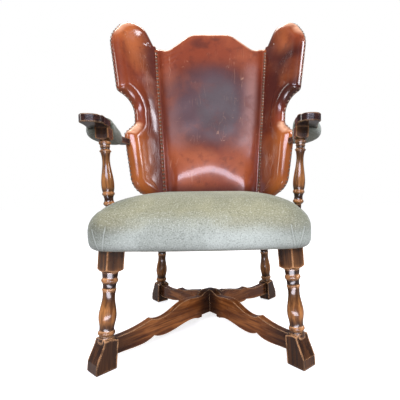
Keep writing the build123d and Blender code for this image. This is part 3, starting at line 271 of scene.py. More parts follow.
ESPRESSO = (0.010, 0.006, 0.005)
UMBER = (0.018, 0.007, 0.0035)
WALNUT = (0.055, 0.018, 0.006)
CHESTNUT = (0.16, 0.055, 0.014)
AMBER = (0.55, 0.23, 0.065)
WORN = (0.8, 0.43, 0.2)
WORN_PALE = (0.8, 0.48, 0.25)
BOARD = ((0.13, 0.036, 0.009), (0.46, 0.165, 0.042))
ARM = ((0.014, 0.006, 0.006), (0.05, 0.018, 0.012))
BARE = ((0.4, 0.27, 0.15), (0.55, 0.4, 0.24))
GRAIN_DEPTH = 0.5 * MM

# How far round a point the wear of edges and the painted shade in corners look, on boards and on turned wood
BOARD_EDGE = 4 * MM
BOARD_CORNER = 30 * MM
TURNED_EDGE = 7 * MM
TURNED_CORNER = 18 * MM

# The square block on top of a leg or post: its height, its fade, and the rubbed strip at its corners
BLOCK_HEIGHT = 0.09
BLOCK_FADE = 0.02
BLOCK_CORNER = 3 * MM

# Distances from the crossing at which the stretchers darken, painted shade round the crossing: nothing at the
# first, full at the second
CROSSING_SHADE = (0.085, 0.03)
FOOT_DARKENING = (0.24, 0.33)


def streaks(s, direction):
    """Fine grain, broad streaks and soft blotches that run along a direction."""
    grain = s.noise(330.0, 5.0, 0.6, s.squeezed(direction, 0.05), 0.25)
    streak = s.noise(75.0, 4.0, 0.55, s.squeezed(direction, 0.08), 0.35)
    blotch = s.noise(17.0, 3.0, 0.55, s.squeezed(direction, 0.5))
    return grain, streak, blotch


def wood(name, direction, colours, wear, rough, darkening=None):
    """Polished wood, rubbed pale on its edges, with painted shade in its corners and more darkening where a
    mask is given.
    """
    s = Shader(name)
    dark, light = colours
    grain, streak, blotch = streaks(s, direction)
    tone = s.mix(s.band(streak, 0.36, 0.66), dark, light)
    tone = s.mix(s.band(grain, 0.54, 0.36, 0.0, 0.5), tone, tuple(0.35 * c for c in dark))
    tone = s.mix(s.band(blotch, 0.54, 0.36, 0.0, 0.6), tone, dark)
    # Painted shade round the stretchers' crossing, and darker ends, where a mask is given.
    if darkening:
        tone = s.mix(darkening(s), tone, ESPRESSO)
    # Painted shade: near black where ambient occlusion finds corners and grooves.
    tone = s.mix(s.band(s.hollows(BOARD_CORNER), 0.35, 0.8, 0.0, 0.85), tone, ESPRESSO)
    rub = s.times(s.band(s.edges(BOARD_EDGE), 0.015, 0.09, 0.0, wear),
                  s.band(s.noise(60.0, 3.0, 0.6), 0.34, 0.56, 0.15, 1.0))
    tone = s.mix(rub, tone, WORN_PALE)
    gloss = s.band(blotch, 0.3, 0.7, rough * 0.75, rough * 1.5)
    normal = s.bump(grain, 0.16, GRAIN_DEPTH)
    return s.finish(tone, gloss, normal, Coat_Weight=0.4, Coat_Roughness=0.12, Specular_IOR_Level=0.3)


def run_of(node):
    """Direction of a stretcher on the floor plan: which of the two diagonals it follows."""
    lean = sum(v.co.x * (v.co.y - CROSSING.y) for v in NODES[node].data.vertices)
    side = 1 if lean > 0 else -1
    return Vector(((FRONT_FOOT.x + REAR_FOOT.x) * side, REAR_FOOT.y - FRONT_FOOT.y, 0.0)).normalized()


def stretcher_shade_and_dark_ends(s):
    """Painted shade, near black, round the crossing of the stretchers under the seat, and darker where they
    meet the feet.
    """
    plan = s.vector("MULTIPLY", s.vector("SUBTRACT", s.position, CROSSING), (1, 1, 0))
    off = s.vector("LENGTH", plan)
    return s.maths("MAXIMUM", s.band(off, *CROSSING_SHADE, 0.0, 0.8), s.band(off, *FOOT_DARKENING, 0.0, 0.7))


# Heights up the axis of the turning, and how far each is rubbed: dark coves between bright rings
LEG_ZONES = (
    (0.000, 0.10), (0.074, 0.05), (0.084, 0.0), (0.0885, 0.75), (0.0955, 0.75), (0.100, 0.05),
    (0.110, 0.3), (0.122, 0.95), (0.152, 0.9), (0.176, 0.35), (0.191, 0.25), (0.196, 0.7),
    (0.2005, 0.7), (0.203, 0.0), (0.214, 0.0), (0.218, 0.8), (0.226, 0.75), (0.230, 0.05),
    (0.240, 0.0), (0.246, 0.6), (0.256, 0.25), (0.300, 0.1),
)
POST_ZONES = (
    (0.030, 0.1), (0.037, 0.7), (0.044, 0.7), (0.047, 0.0), (0.061, 0.0), (0.065, 0.75),
    (0.072, 0.7), (0.076, 0.1), (0.088, 0.7), (0.115, 0.95), (0.140, 0.75), (0.165, 0.35),
    (0.182, 0.3), (0.186, 0.75), (0.191, 0.7), (0.194, 0.0), (0.199, 0.1), (0.202, 0.6),
    (0.205, 0.0), (0.209, 0.7), (0.214, 0.6), (0.218, 0.1), (0.250, 0.1),
)


def zone_curve(s, height, zones):
    """How far the turning is rubbed at a height: a curve with straight runs between the zones."""
    span = zones[-1][0]
    curve = s.node("FloatCurve", {"Value": s.maths("DIVIDE", height, span)})
    points = curve.mapping.curves[0].points
    while len(points) < len(zones):
        points.new(0.5, 0.5)
    for point, (place, rub) in zip(points, zones):
        point.location = (place / span, rub)
        point.handle_type = "VECTOR"
    curve.mapping.update()
    return curve.outputs[0]


def turned_wood(name, foot, direction, zones, corner, wear):
    """Turned wood: rubbed to amber on its rings and swells, near black in its coves, with painted shade in
    its corners.
    """
    s = Shader(name)
    across = s.vector("SUBTRACT", s.position, foot)
    run = s.vector("DOT_PRODUCT", across, direction)
    radius = s.vector("LENGTH", s.vector("SUBTRACT", across, s.along(direction, run)))
    grain, streak, blotch = streaks(s, direction)
    rubbed = s.times(zone_curve(s, run, zones), s.band(blotch, 0.28, 0.55, 0.55, 1.0))
    base = s.mix(s.band(streak, 0.42, 0.72), UMBER, WALNUT)
    warm = s.mix(s.band(streak, 0.34, 0.64), CHESTNUT, AMBER)
    tone = s.mix(rubbed, base, warm)
    tone = s.mix(s.band(grain, 0.52, 0.36, 0.0, 0.4), tone, UMBER)
    block = zones[-1][0] - BLOCK_HEIGHT
    ridge = s.times(s.band(radius, corner - BLOCK_CORNER, corner), s.band(run, block, block + BLOCK_FADE))
    tone = s.mix(s.times(ridge, s.band(blotch, 0.34, 0.54, 0.1, 0.55)), tone, AMBER)
    # Painted shade: near black where ambient occlusion finds coves and corners.
    tone = s.mix(s.band(s.hollows(TURNED_CORNER), 0.42, 0.85, 0.0, 0.8), tone, ESPRESSO)
    rub = s.times(s.band(s.edges(TURNED_EDGE), 0.012, 0.055, 0.0, wear),
                  s.band(s.noise(60.0, 3.0, 0.6), 0.36, 0.54, 0.2, 1.0))
    tone = s.mix(rub, tone, WORN)
    gloss = s.band(blotch, 0.3, 0.7, 0.16, 0.3)
    normal = s.bump(grain, 0.12, GRAIN_DEPTH)
    return s.finish(tone, gloss, normal, Coat_Weight=0.55, Coat_Roughness=0.1, Specular_IOR_Level=0.3)


# Leather

# Dark, base and light tones of each hide
WING_TONES = ((0.08, 0.012, 0.006), (0.25, 0.046, 0.014), (0.43, 0.115, 0.03))
BACK_TONES = ((0.08, 0.014, 0.008), (0.23, 0.042, 0.014), (0.36, 0.085, 0.026))
OUTER_TONES = ((0.05, 0.01, 0.006), (0.17, 0.035, 0.012), (0.3, 0.075, 0.022))
# Dark burgundy, painted as shade low on the back and on the wings' ears.
BURGUNDY_SHADE = (0.055, 0.009, 0.005)
SCUFF_AND_HIGHLIGHT = (0.78, 0.45, 0.28)
SCRATCHED = (0.75, 0.42, 0.26)

# How two sets of scratches are turned, and how strongly they show
SCRATCHES = (((0.0, 0.5, 0.0), 0.45), ((0.0, -0.7, 0.0), 0.3))
PORE_DEPTH = 0.4 * MM
WRINKLE_DEPTH = 1.4 * MM


def leather(name, tones, gloss, zones=None):
    """Aged leather: soft clouds of colour, zones of colour with painted shade and sheen where given, painted
    highlights on up-facing parts, fine pores, scratches and a waxed gloss.
    """
    s = Shader(name)
    dark, base, light = tones
    cloud = s.noise(6.0, 3.0, 0.5)
    mottle = s.noise(32.0, 4.0, 0.6)
    speck = s.noise(210.0, 3.0, 0.6)
    tone = s.mix(s.band(cloud, 0.36, 0.64), base, light)
    tone = s.mix(s.band(mottle, 0.5, 0.32, 0.0, 0.35), tone, dark)
    for share, colour in zones(s) if zones else ():
        tone = s.mix(share, tone, colour)
    tone = s.mix(s.band(speck, 0.46, 0.32, 0.0, 0.16), tone, dark)
    tone = s.mix(s.band(speck, 0.58, 0.74, 0.0, 0.18), tone, light)
    # Painted highlight with rubbed wear: up-facing parts, such as the crest's roll and the tops of the wings,
    # painted pale.
    rubbed = s.times(s.band(s.facing_up(), 0.26, 0.62), s.band(mottle, 0.35, 0.55, 0.4, 0.9))
    tone = s.mix(rubbed, tone, SCUFF_AND_HIGHLIGHT)
    for turn, amount in SCRATCHES:
        line = s.noise(24.0, 2.0, 0.5, s.stretch((1.0, 1.0, 0.1), turn), 0.6)
        mark = s.band(s.absolute(s.minus(line, 0.5)), 0.0035, 0.0)
        tone = s.mix(s.times(mark, s.band(s.noise(13.0, 3.0, 0.6), 0.53, 0.6, 0.0, amount)), tone, SCRATCHED)
    pores = s.bump(s.cells(620.0), 0.1, PORE_DEPTH)
    creased = s.bump(s.band(s.cells(85.0, "DISTANCE_TO_EDGE"), 0.0, 0.05), 0.06, PORE_DEPTH, pores)
    waved = s.bump(s.noise(30.0, 3.0, 0.55), 0.12, WRINKLE_DEPTH, creased)
    shine = s.band(cloud, 0.3, 0.7, gloss * 0.92, gloss * 1.1)
    return s.finish(tone, shine, waved, Coat_Weight=0.6, Coat_Roughness=0.14, Specular_IOR_Level=0.32)


def seam_distance(s):
    """How far out from the middle a point is, less what the seam leans out by at its height."""
    return s.minus(s.absolute(s.x), s.times(s.z, SEAM_SLOPE))


# Ovals of the inside back, seen from the front: middle and half sizes
RING = ((0.0, 0.795), (0.31, 0.225))
BLOOM = ((0.005, 0.81), (0.2, 0.19))
HEART = ((0.03, 0.79), (0.105, 0.15))
CREST_STAIN = ((0.0, 1.065), (0.1, 0.03))

# Where other zones come in, as distances or heights: nothing at the first, full at the second
LEFT_TO_RIGHT = (-0.05, 0.05)
MARGIN = (0.1, 0.14)
SHEEN_INNER = (0.05, 0.105)
SHEEN_OUTER = (0.14, 0.108)
SHEEN_LOW = (0.62, 0.72)
SHEEN_HIGH = (1.0, 0.93)
SEAT_SHADE = (0.49, 0.45)
EAR_LOW = (0.72, 0.82)
EAR_HIGH = (1.05, 0.97)
LOWER_WING = (0.74, 0.62)
SEAM_SHADE = (0.228, 0.165)

RED = (0.16, 0.022, 0.01)
BROWN = (0.085, 0.021, 0.014)
PLUM = (0.078, 0.038, 0.045)
GREY = (0.088, 0.08, 0.086)
PAINTED_SHEEN = (0.4, 0.2, 0.17)
DARK_BROWN = (0.08, 0.018, 0.012)
LIT_ORANGE = (0.47, 0.135, 0.026)
SEAM_SHADE_RED = (0.075, 0.011, 0.006)


def back_zones(s):
    """Red margins, a grey-plum bloom in the middle, a painted sheen beside the seams, a stain near the crest,
    and painted shade by the seat.
    """
    rag = s.noise(11.0, 4.0, 0.6, warp=0.3)
    wide = seam_distance(s)
    ring = s.times(s.oval(*RING), s.band(rag, 0.3, 0.55, 0.6, 1.0), 0.82)
    bloom = s.times(s.oval(*BLOOM), s.band(rag, 0.3, 0.5, 0.75, 1.0), 0.88)
    heart = s.times(s.oval(*HEART), s.band(rag, 0.34, 0.6, 0.4, 0.9), 0.7)
    # Painted sheen: a pale lilac band beside each seam, stronger on the right.
    painted_sheen = s.times(s.band(wide, *SHEEN_INNER), s.band(wide, *SHEEN_OUTER), s.band(s.z, *SHEEN_LOW),
                   s.band(s.z, *SHEEN_HIGH), s.band(s.x, *LEFT_TO_RIGHT, 0.15, 0.6),
                   s.band(rag, 0.3, 0.6, 0.3, 1.0))
    crest = s.times(s.oval(*CREST_STAIN), s.band(rag, 0.42, 0.62), 0.6)
    return (
        (s.band(wide, *MARGIN, 0.0, 0.55), RED),
        (ring, BROWN),
        (bloom, PLUM),
        (heart, GREY),
        (painted_sheen, PAINTED_SHEEN),
        (crest, DARK_BROWN),
        # Painted shade at the bottom of the back, where it meets the seat.
        (s.band(s.z, *SEAT_SHADE, 0.0, 0.8), BURGUNDY_SHADE),
    )


def wing_zones(s):
    """Painted light and shade: bright orange low down as lit, dark burgundy shade on the ears, most on the
    right one, and dark shade beside the seam.
    """
    rag = s.noise(8.0, 3.0, 0.5)
    # Painted shade: the ears darkened to burgundy, the right wing's much more than the left's.
    ear = s.times(s.band(s.z, *EAR_LOW), s.band(s.z, *EAR_HIGH), s.band(rag, 0.32, 0.55, 0.5, 1.0))
    side = s.maths("ADD", s.times(s.band(s.x, *LEFT_TO_RIGHT), 0.75), 0.22)
    # Painted light: the lower wing painted bright orange, as lit.
    lower = s.times(s.band(s.z, *LOWER_WING), s.band(rag, 0.3, 0.6, 0.4, 0.9))
    # Painted shade beside the seam, in the corner between wing and back.
    seam = s.times(s.band(seam_distance(s), *SEAM_SHADE), s.band(rag, 0.28, 0.5, 0.55, 0.95))
    return (
        (lower, LIT_ORANGE),
        (s.times(ear, side), BURGUNDY_SHADE),
        (seam, SEAM_SHADE_RED),
    )


# Velvet

VELVET_SHADE = (0.1, 0.11, 0.076)
VELVET_LIT_MINT = (0.5, 0.56, 0.5)
VELVET_OLIVE = (0.26, 0.255, 0.155)
NAP_TIP = (0.75, 0.8, 0.74)
PIPING = (0.6, 0.66, 0.6)

# Where the shaded ends, the swept band and the front come in: nothing at the first, full at the second
SEAT_ENDS = (0.12, 0.24)
SEAT_ENDS_UP = (0.31, 0.37)
SWEEP_LOW = (0.33, 0.37)
SWEEP_HIGH = (0.43, 0.385)
SEAT_MIDDLE = (-0.02, 0.02)
SEAT_FRONT = (-0.24, -0.262)

# Corner darts of the seat: hem and tip of each piped seam, out from the middle and up
DARTS = (
    ((0.2295, 0.298), (0.2185, 0.357)),
    ((0.2365, 0.298), (0.2525, 0.352)),
)

# Half widths of the piping and of its shadow: where each begins, and where it is full
PIPE_HALF = (2.2 * MM, 0.6 * MM)
PIPE_SHADOW_HALF = (6.5 * MM, 2.4 * MM)
FIBRE_DEPTH = 1.2 * MM
PIPE_DEPTH = 2 * MM
BRUSH_DEPTH = 3 * MM


def velvet(name):
    """Short-pile velvet: olive where it faces up, painted lighter mint where it faces forward, as lit from
    the front, with painted shade out to the sides and a speckled nap.
    """
    s = Shader(name)
    brushed = s.noise(7.0, 3.0, 0.5, warp=0.4)
    nap = s.noise(330.0, 3.0, 0.75)
    fibre = s.noise(700.0, 2.0, 0.7, s.stretch((1.0, 1.0, 0.5)))
    # Painted light: forward-facing velvet painted lighter and cooler, as lit from the front.
    tone = s.mix(s.band(s.facing_up(), 0.1, 0.85), VELVET_LIT_MINT, VELVET_OLIVE)
    tone = s.mix(s.band(brushed, 0.55, 0.35, 0.0, 0.35), tone, VELVET_SHADE)
    # Painted shade far out to the sides: the seat's ends and the arm pads, darker on the left.
    painted_end_shade = s.times(s.band(s.absolute(s.x), *SEAT_ENDS), s.band(s.z, *SEAT_ENDS_UP, 0.4, 1.0),
                   s.band(s.x, *SEAT_MIDDLE, 0.95, 0.7))
    tone = s.mix(painted_end_shade, tone, VELVET_SHADE)
    sweep = s.times(s.band(s.z, *SWEEP_LOW), s.band(s.z, *SWEEP_HIGH), s.band(brushed, 0.38, 0.6, 0.3, 0.8))
    tone = s.mix(sweep, tone, VELVET_OLIVE)
    tone = s.mix(s.band(nap, 0.5, 0.3, 0.0, 0.55), tone, tuple(0.5 * c for c in VELVET_SHADE))
    tone = s.mix(s.band(nap, 0.52, 0.72, 0.0, 0.45), tone, NAP_TIP)
    soft = s.bump(brushed, 0.15, BRUSH_DEPTH, s.bump(fibre, 0.5, FIBRE_DEPTH))
    for low, high in DARTS:
        gap = s.line_gap(low, high)
        front = s.band(s.y, *SEAT_FRONT)
        pipe = s.times(front, s.band(gap, *PIPE_HALF))
        shadow = s.times(front, s.band(gap, *PIPE_SHADOW_HALF))
        tone = s.mix(s.times(pipe, 0.35), tone, PIPING)
        soft = s.bump(pipe, 0.45, PIPE_DEPTH, soft)
        tone = s.mix(s.times(s.minus(shadow, pipe), 0.2), tone, VELVET_SHADE)
    return s.finish(tone, 0.85, soft, Sheen_Weight=0.45, Sheen_Roughness=0.35,
                    Sheen_Tint=(0.85, 0.93, 0.9), Specular_IOR_Level=0.2)


# Metal and hidden cloth

# Dark and bright tones of each
NAIL = ((0.018, 0.01, 0.008), (0.4, 0.28, 0.2))
STEEL = ((0.2, 0.2, 0.21), (0.5, 0.5, 0.52))
HESSIAN = ((0.3, 0.21, 0.11), (0.55, 0.42, 0.26))
BLACK = ((0.01, 0.01, 0.01), (0.04, 0.04, 0.04))
TARNISH_DEPTH = 0.3 * MM
THREAD_DEPTH = 0.8 * MM


def metal(name, colours, rough):
    """Antique metal, bright on its crown and dark round its rim."""
    s = Shader(name)
    dark, bright = colours
    worn = s.noise(320.0, 3.0, 0.6)
    tone = s.mix(s.band(s.pointiness, 0.46, 0.54), dark, bright)
    tone = s.mix(s.band(worn, 0.42, 0.62, 0.0, 0.5), tone, dark)
    gloss = s.band(worn, 0.3, 0.7, rough * 0.7, rough * 1.4)
    return s.finish(tone, gloss, s.bump(worn, 0.2, TARNISH_DEPTH), Metallic=0.9)


def plain_cloth(name, colours):
    """Woven cloth for the hidden layers."""
    s = Shader(name)
    warp = s.noise(700.0, 2.0, 0.5, s.stretch((1.0, 1.0, 0.1)))
    weft = s.noise(700.0, 2.0, 0.5, s.stretch((0.1, 1.0, 1.0)))
    weave = s.maths("MAXIMUM", warp, weft)
    tone = s.mix(s.band(weave, 0.45, 0.65), *colours)
    return s.finish(tone, 0.9, s.bump(weave, 0.5, THREAD_DEPTH))


# Mesh helpers

def smooth_shaded(mesh):
    """Mesh whose faces are all shaded smooth."""
    for polygon in mesh.polygons:
        polygon.use_smooth = True
    return mesh


def new_object(name, bm, material):
    """Object from a bmesh, with one material."""
    mesh = bpy.data.meshes.new(name)
    bmesh.ops.recalc_face_normals(bm, faces=bm.faces)
    bm.to_mesh(mesh)
    bm.free()
    mesh.materials.append(material)
    piece = bpy.data.objects.new(name, smooth_shaded(mesh))
    bpy.context.scene.collection.objects.link(piece)
    return piece


def bake(piece):
    """Replace a piece's mesh by the result of its modifiers."""
    bpy.context.view_layer.update()
    graph = bpy.context.evaluated_depsgraph_get()
    mesh = bpy.data.meshes.new_from_object(piece.evaluated_get(graph))
    piece.modifiers.clear()
    piece.data = smooth_shaded(mesh)


def bridge(bm, low, high):
    """Faces between two closed rings of points."""
    for k in range(len(low)):
        after = (k + 1) % len(low)
        bm.faces.new((low[k], low[after], high[after], high[k]))


def subdivide(piece):
    """One level of subdivision, applied."""
    piece.modifiers.new("fine", "SUBSURF").levels = 1
    bake(piece)


CLOTH_FRAMES = 20
CLOTH_STIFFNESS = 12.0

# Points of a sheet node that lie closer than this are one point, and faces this near its outer side count
SHEET_WELD = 0.05 * MM
SHEET_REACH = 0.4 * MM


def inflate(piece, pressure, cap, voxel, held_below=None, flat_below=None):
    """Puff a closed mesh with a short cloth simulation, which moves a point outward by cap at most.

    Points under held_below don't move, and points under flat_below keep their height.
    """
    remesh = piece.modifiers.new("remesh", "REMESH")
    remesh.mode = "VOXEL"
    remesh.voxel_size = voxel
    bake(piece)
    rest = [(v.co.copy(), v.normal.copy()) for v in piece.data.vertices]
    cloth = piece.modifiers.new("cloth", "CLOTH").settings
    cloth.quality = 5
    cloth.mass = 0.3
    cloth.use_pressure = True
    cloth.uniform_pressure_force = pressure
    cloth.effector_weights.gravity = 0.0
    cloth.tension_stiffness = CLOTH_STIFFNESS
    cloth.compression_stiffness = CLOTH_STIFFNESS
    cloth.bending_stiffness = 0.6
    if held_below is not None:
        held = piece.vertex_groups.new(name="held")
        held.add([v.index for v in piece.data.vertices if v.co.z < held_below], 1.0, "REPLACE")
        cloth.vertex_group_mass = held.name
    for step in range(1, CLOTH_FRAMES + 1):
        bpy.context.scene.frame_set(step)
    bake(piece)
    bpy.context.scene.frame_set(1)
    for vertex, (start, sense) in zip(piece.data.vertices, rest):
        move = vertex.co - start
        move -= sense * min(0.0, move.dot(sense))
        vertex.co = start + move * min(1.0, cap / max(move.length, 1e-9))
        if flat_below is not None and start.z < flat_below:
            vertex.co.z = start.z


def chain(pairs):
    """Numbers in order round the closed chain that pairs of neighbours make."""
    links = {}
    for a, b in pairs:
        links.setdefault(a, []).append(b)
        links.setdefault(b, []).append(a)
    start = next(iter(links))
    order, before, here = [start], None, start
    while True:
        onward = [k for k in links[here] if k != before]
        before, here = here, onward[0]
        if here == start:
            return order
        order.append(here)


def outline_of(node, plane_x, plane_y, out):
    """Counter-clockwise outline of a flat sheet node, seen on a plane: its outermost face's edge."""
    bm = bmesh.new()
    bm.from_mesh(NODES[node].data)
    bmesh.ops.remove_doubles(bm, verts=bm.verts, dist=SHEET_WELD)
    bm.normal_update()
    far = max(v.co.dot(out) for v in bm.verts)
    faces = [f for f in bm.faces if f.normal.dot(out) > 0.99
             and abs(f.calc_center_median().dot(out) - far) < SHEET_REACH]
    chosen = set(faces)
    pairs = [tuple(v.index for v in edge.verts) for face in faces for edge in face.edges
             if sum(1 for other in edge.link_faces if other in chosen) == 1]
    bm.verts.ensure_lookup_table()
    points = [bm.verts[k].co.copy() for k in chain(pairs)]
    bm.free()
    flat = [Vector((p.dot(plane_x), p.dot(plane_y))) for p in points]
    area = sum(a.x * b.y - b.x * a.y for a, b in zip(flat, flat[1:] + flat[:1]))
    if area < 0:
        flat.reverse()
    return flat


def resample(points, step):
    """Points spaced evenly round a closed polyline."""
    ring = points + points[:1]
    lengths = [0.0]
    for a, b in zip(ring, ring[1:]):
        lengths.append(lengths[-1] + (b - a).length)
    count = round(lengths[-1] / step)
    result, k = [], 0
    for index in range(count):
        target = lengths[-1] * index / count
        while k < len(ring) - 2 and lengths[k + 1] < target:
            k += 1
        share = (target - lengths[k]) / (lengths[k + 1] - lengths[k])
        result.append(ring[k].lerp(ring[k + 1], share))
    return result


def edge_distance(point, ring):
    """Distance from a point to a closed polyline."""
    best = math.inf
    for a, b in zip(ring, ring[1:] + ring[:1]):
        along = b - a
        share = max(0.0, min(1.0, (point - a).dot(along) / max(along.length_squared, 1e-12)))
        best = min(best, (point - a - along * share).length)
    return best


def outward(ring, index):
    """Outward direction of a counter-clockwise ring at one point."""
    along = (ring[(index + 1) % len(ring)] - ring[index - 1]).normalized()
    return Vector((along.y, -along.x))


def smooth_step(value, low, high):
    """Nothing below low, one above high, and a smooth rise between."""
    share = max(0.0, min(1.0, (value - low) / (high - low)))
    return share * share * (3 - 2 * share)


def quarter_round(share):
    """Drop of a quarter circle of radius one, at a share of the way from its crown to its side."""
    return 1.0 - math.sqrt(max(0.0, 1.0 - share * share))


# The wings

WING_DEPTH = 34 * MM
WING_OVERHANG = 2 * MM

# Points this near the seam lie beside it, and the leather there has no roll
SEAM_SIDE = 2 * MM
SEAM_TIE = 1 * MM
NO_RIM = 1.0

# The roll over the rim, and the fat crown that runs beside it
WING_ROLL = 15 * MM
WING_ROLL_WIDTH = 26 * MM
WING_CROWN = 6 * MM
WING_CROWN_GAP = 30 * MM
WING_CROWN_WIDTH = 24 * MM
WING_FLOOR = 2 * MM
WING_EASE = 30 * MM
WING_FAR = 200 * MM
SEAM_EASE = 20 * MM

# Dents: waves a metre and height
DENTS = ((9.0, 2.6 * MM), (23.0, 1.1 * MM))

# Spacing of the mesh: along the rim, in rows inside it, and over the rest
RIM_STEP = 5 * MM
RIM_INSETS = (0.6 * MM, 1.6 * MM, 3.2 * MM, 5.5 * MM, 8.5 * MM, 12 * MM)
GRID_MARGIN = 15 * MM
GRID_STEP = 5.5 * MM
ROW_SHARE = 0.87

# The rim's side, down to the wing's frame: share of the depth, and how far it stands out from the rim
WING_SIDE = ((0.5, 0.8 * MM), (0.68, 1.0 * MM), (0.84, 0.4 * MM), (0.95, -0.6 * MM), (1.0, -2.0 * MM))

# The seam on the wing's plane
WING_BASE = SEAM_LOW.dot(WING_FACE)
SEAM_OUT = SEAM_LOW.dot(WING_OUT)
SEAM_RISE = SEAM_LOW.dot(WING_RISE)
SEAM_LEAN = SEAM_UP.dot(WING_OUT) / SEAM_UP.dot(WING_RISE)


def wing_place(point, depth):
    """Place of a point of the wing's plane, at a depth behind its face."""
    return WING_OUT * point.x + WING_RISE * point.y + WING_FACE * (WING_BASE - depth)


def beside_seam(point):
    """Distance of a point of the wing's plane from the seam, measured out along the wing."""
    return point.x - SEAM_OUT - (point.y - SEAM_RISE) * SEAM_LEAN


def wing_depth(point, ring):
    """How far the leather lies behind the wing's flat face: rolled at the rim, crowned, a little dented."""
    gap = edge_distance(point, ring)
    seam_gap = beside_seam(point)
    if seam_gap < gap + SEAM_TIE:
        gap = NO_RIM
    roll = WING_ROLL * quarter_round(max(0.0, 1.0 - gap / WING_ROLL_WIDTH))
    seam_gap = max(seam_gap, 0.0)
    fat = (gap - WING_CROWN_GAP) / WING_CROWN_WIDTH
    crown = WING_CROWN * math.exp(-fat * fat)
    crown += WING_FLOOR * (1.0 - math.exp(-min(gap, WING_FAR) / WING_EASE))
    crown *= 1.0 - math.exp(-seam_gap / SEAM_EASE)
    place = wing_place(point, 0.0)
    dent = sum(noise.noise(place * scale) * height for scale, height in DENTS)
    return roll - crown - dent * min(1.0, min(gap, seam_gap) / WING_EASE)


def wing_patch(ring):
    """Points and faces over the wing: rows that follow its rim, and a staggered grid inside them."""
    flat = list(ring)
    for inset in RIM_INSETS:
        flat += [p - outward(ring, k) * inset for k, p in enumerate(ring)]
    low_x, high_x = min(p.x for p in ring), max(p.x for p in ring)
    y, high_y = min(p.y for p in ring), max(p.y for p in ring)
    row = 0
    while y < high_y:
        x = low_x + GRID_STEP / 2 * (row % 2)
        while x < high_x:
            point = Vector((x, y))
            if edge_distance(point, ring) > GRID_MARGIN:
                flat.append(point)
            x += GRID_STEP
        y += GRID_STEP * ROW_SHARE
        row += 1
    count = len(ring)
    rim = [(k, (k + 1) % count) for k in range(count)]
    points, _, faces = delaunay_2d_cdt(flat, rim, [], 1, 1e-6)[:3]
    return points, faces


def make_wing(side, name, material):
    """Padded inner face of one wing, with its rolled edge, as one closed form."""
    rim = resample(outline_of("outside_wing_leather_right", WING_OUT, WING_RISE, -WING_FACE), RIM_STEP)
    ring = [p + outward(rim, k) * WING_OVERHANG for k, p in enumerate(rim)]
    points, faces = wing_patch(ring)
    bm = bmesh.new()
    top = [bm.verts.new(mirrored(wing_place(p, wing_depth(p, ring)), side)) for p in points]
    for face in faces:
        bm.faces.new([top[k] for k in face])
    uses = Counter(frozenset(pair) for face in faces for pair in zip(face, face[1:] + face[:1]))
    loop = chain([tuple(pair) for pair, times in uses.items() if times == 1])
    previous = [top[k] for k in loop]
    for share, stand in WING_SIDE:
        lower = []
        for point in (points[k] for k in loop):
            depth = WING_DEPTH * share
            if beside_seam(point) >= SEAM_SIDE:
                near = min(range(len(ring)), key=lambda i: (ring[i] - point).length_squared)
                point = point + outward(ring, near) * stand
                depth = max(WING_ROLL, depth)
            lower.append(bm.verts.new(mirrored(wing_place(point, depth), side)))
        bridge(bm, previous, lower)
        previous = lower
    bm.faces.new(previous)
    piece = new_object(f"wing_cover_{name}", bm, material)
    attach(piece, "root")
    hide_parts(f"wing_leather_{name}", f"wing_padding_{name}", f"wing_frame_{name}")


# The back between the wings

BACK_LOW_Z = 0.392
BACK_COLUMNS = 120
BACK_ROWS = 190
ROW_CROWDING = 0.97
LEATHER = 1.8 * MM

# The pad, inside a flat margin
PAD_RISE = 13 * MM
PAD_MARGIN = 12 * MM
PAD_EDGE = 11 * MM
PAD_EASE = 50 * MM

# The lumbar swell, whose top bows down towards the sides, and the sat-in hollow over it
SWELL = 17 * MM
SWELL_Z = 0.525
SWELL_HALF = 0.095
SWELL_BOW = 0.085
SWELL_BOW_MIDDLE = -0.02
SWELL_BOW_HALF = 0.17
HOLLOW = 3.5 * MM
HOLLOW_MIDDLE = (0.017, 0.82)
HOLLOW_HALF = (0.078, 0.1)

# Soft waves: waves a metre across and up, the layer of noise that they are cut from, and height
BACK_WAVES = ((6, 4.5, 0.3, 2.4 * MM), (22, 15, 1.3, 0.9 * MM))

# Drag folds in the upper corners: where they come in, their slant, turn in radians a metre, and wobble
FOLD = 0.35 * MM
FOLD_OUT = (0.1, 0.17)
FOLD_UP = (0.93, 1.01)
FOLD_EASE = 20 * MM
FOLD_SLANT = 0.55
FOLD_TURN = 330
FOLD_WOBBLE = 7
FOLD_WOBBLE_WAVES = 14

# The roll over the crest, and the line of the outside back: height and depth of its lowest and highest point
CREST_ROLL = 20 * MM
CREST_RISE = 1.5 * MM
CREST_INSET = 0.5 * MM
CREST_LIFT_SHARE = 0.3
OVER_CREST_SHARES = (0.3, 0.6, 0.85, 1.0)
OUTSIDE_LOW = (0.372, 0.263)
OUTSIDE_HIGH = (1.110, 0.341)


def rounded(corners, radii, steps):
    """Open polyline with its inner corners rounded in short steps."""
    line = [corners[0]]
    for before, corner, after, radius in zip(corners, corners[1:], corners[2:], radii):
        a, b = (before - corner).normalized(), (after - corner).normalized()
        half = a.angle(b) / 2
        middle = corner + (a + b).normalized() * (radius / math.sin(half))
        run = radius / math.tan(half)
        first, last = corner + a * run - middle, corner + b * run - middle
        line += [middle + first.lerp(last, k / steps).normalized() * radius for k in range(steps + 1)]
    return line + [corners[-1]]


# Half of the crest, from the middle out to the seam
CREST_CORNERS = ((0.0, 1.111), (0.077, 1.111), (0.178, 1.038), (0.228, 1.056))
CREST_RADII = (60 * MM, 40 * MM)
CREST_STEPS = 10
CREST = rounded([Vector(corner) for corner in CREST_CORNERS], CREST_RADII, CREST_STEPS)


def crest_z(x):
    """Height of the crest at a distance from the middle."""
    away = abs(x)
    for a, b in zip(CREST, CREST[1:]):
        if away <= b.x:
            return a.y + (b.y - a.y) * (away - a.x) / max(b.x - a.x, 1e-9)
    return CREST[-1].y


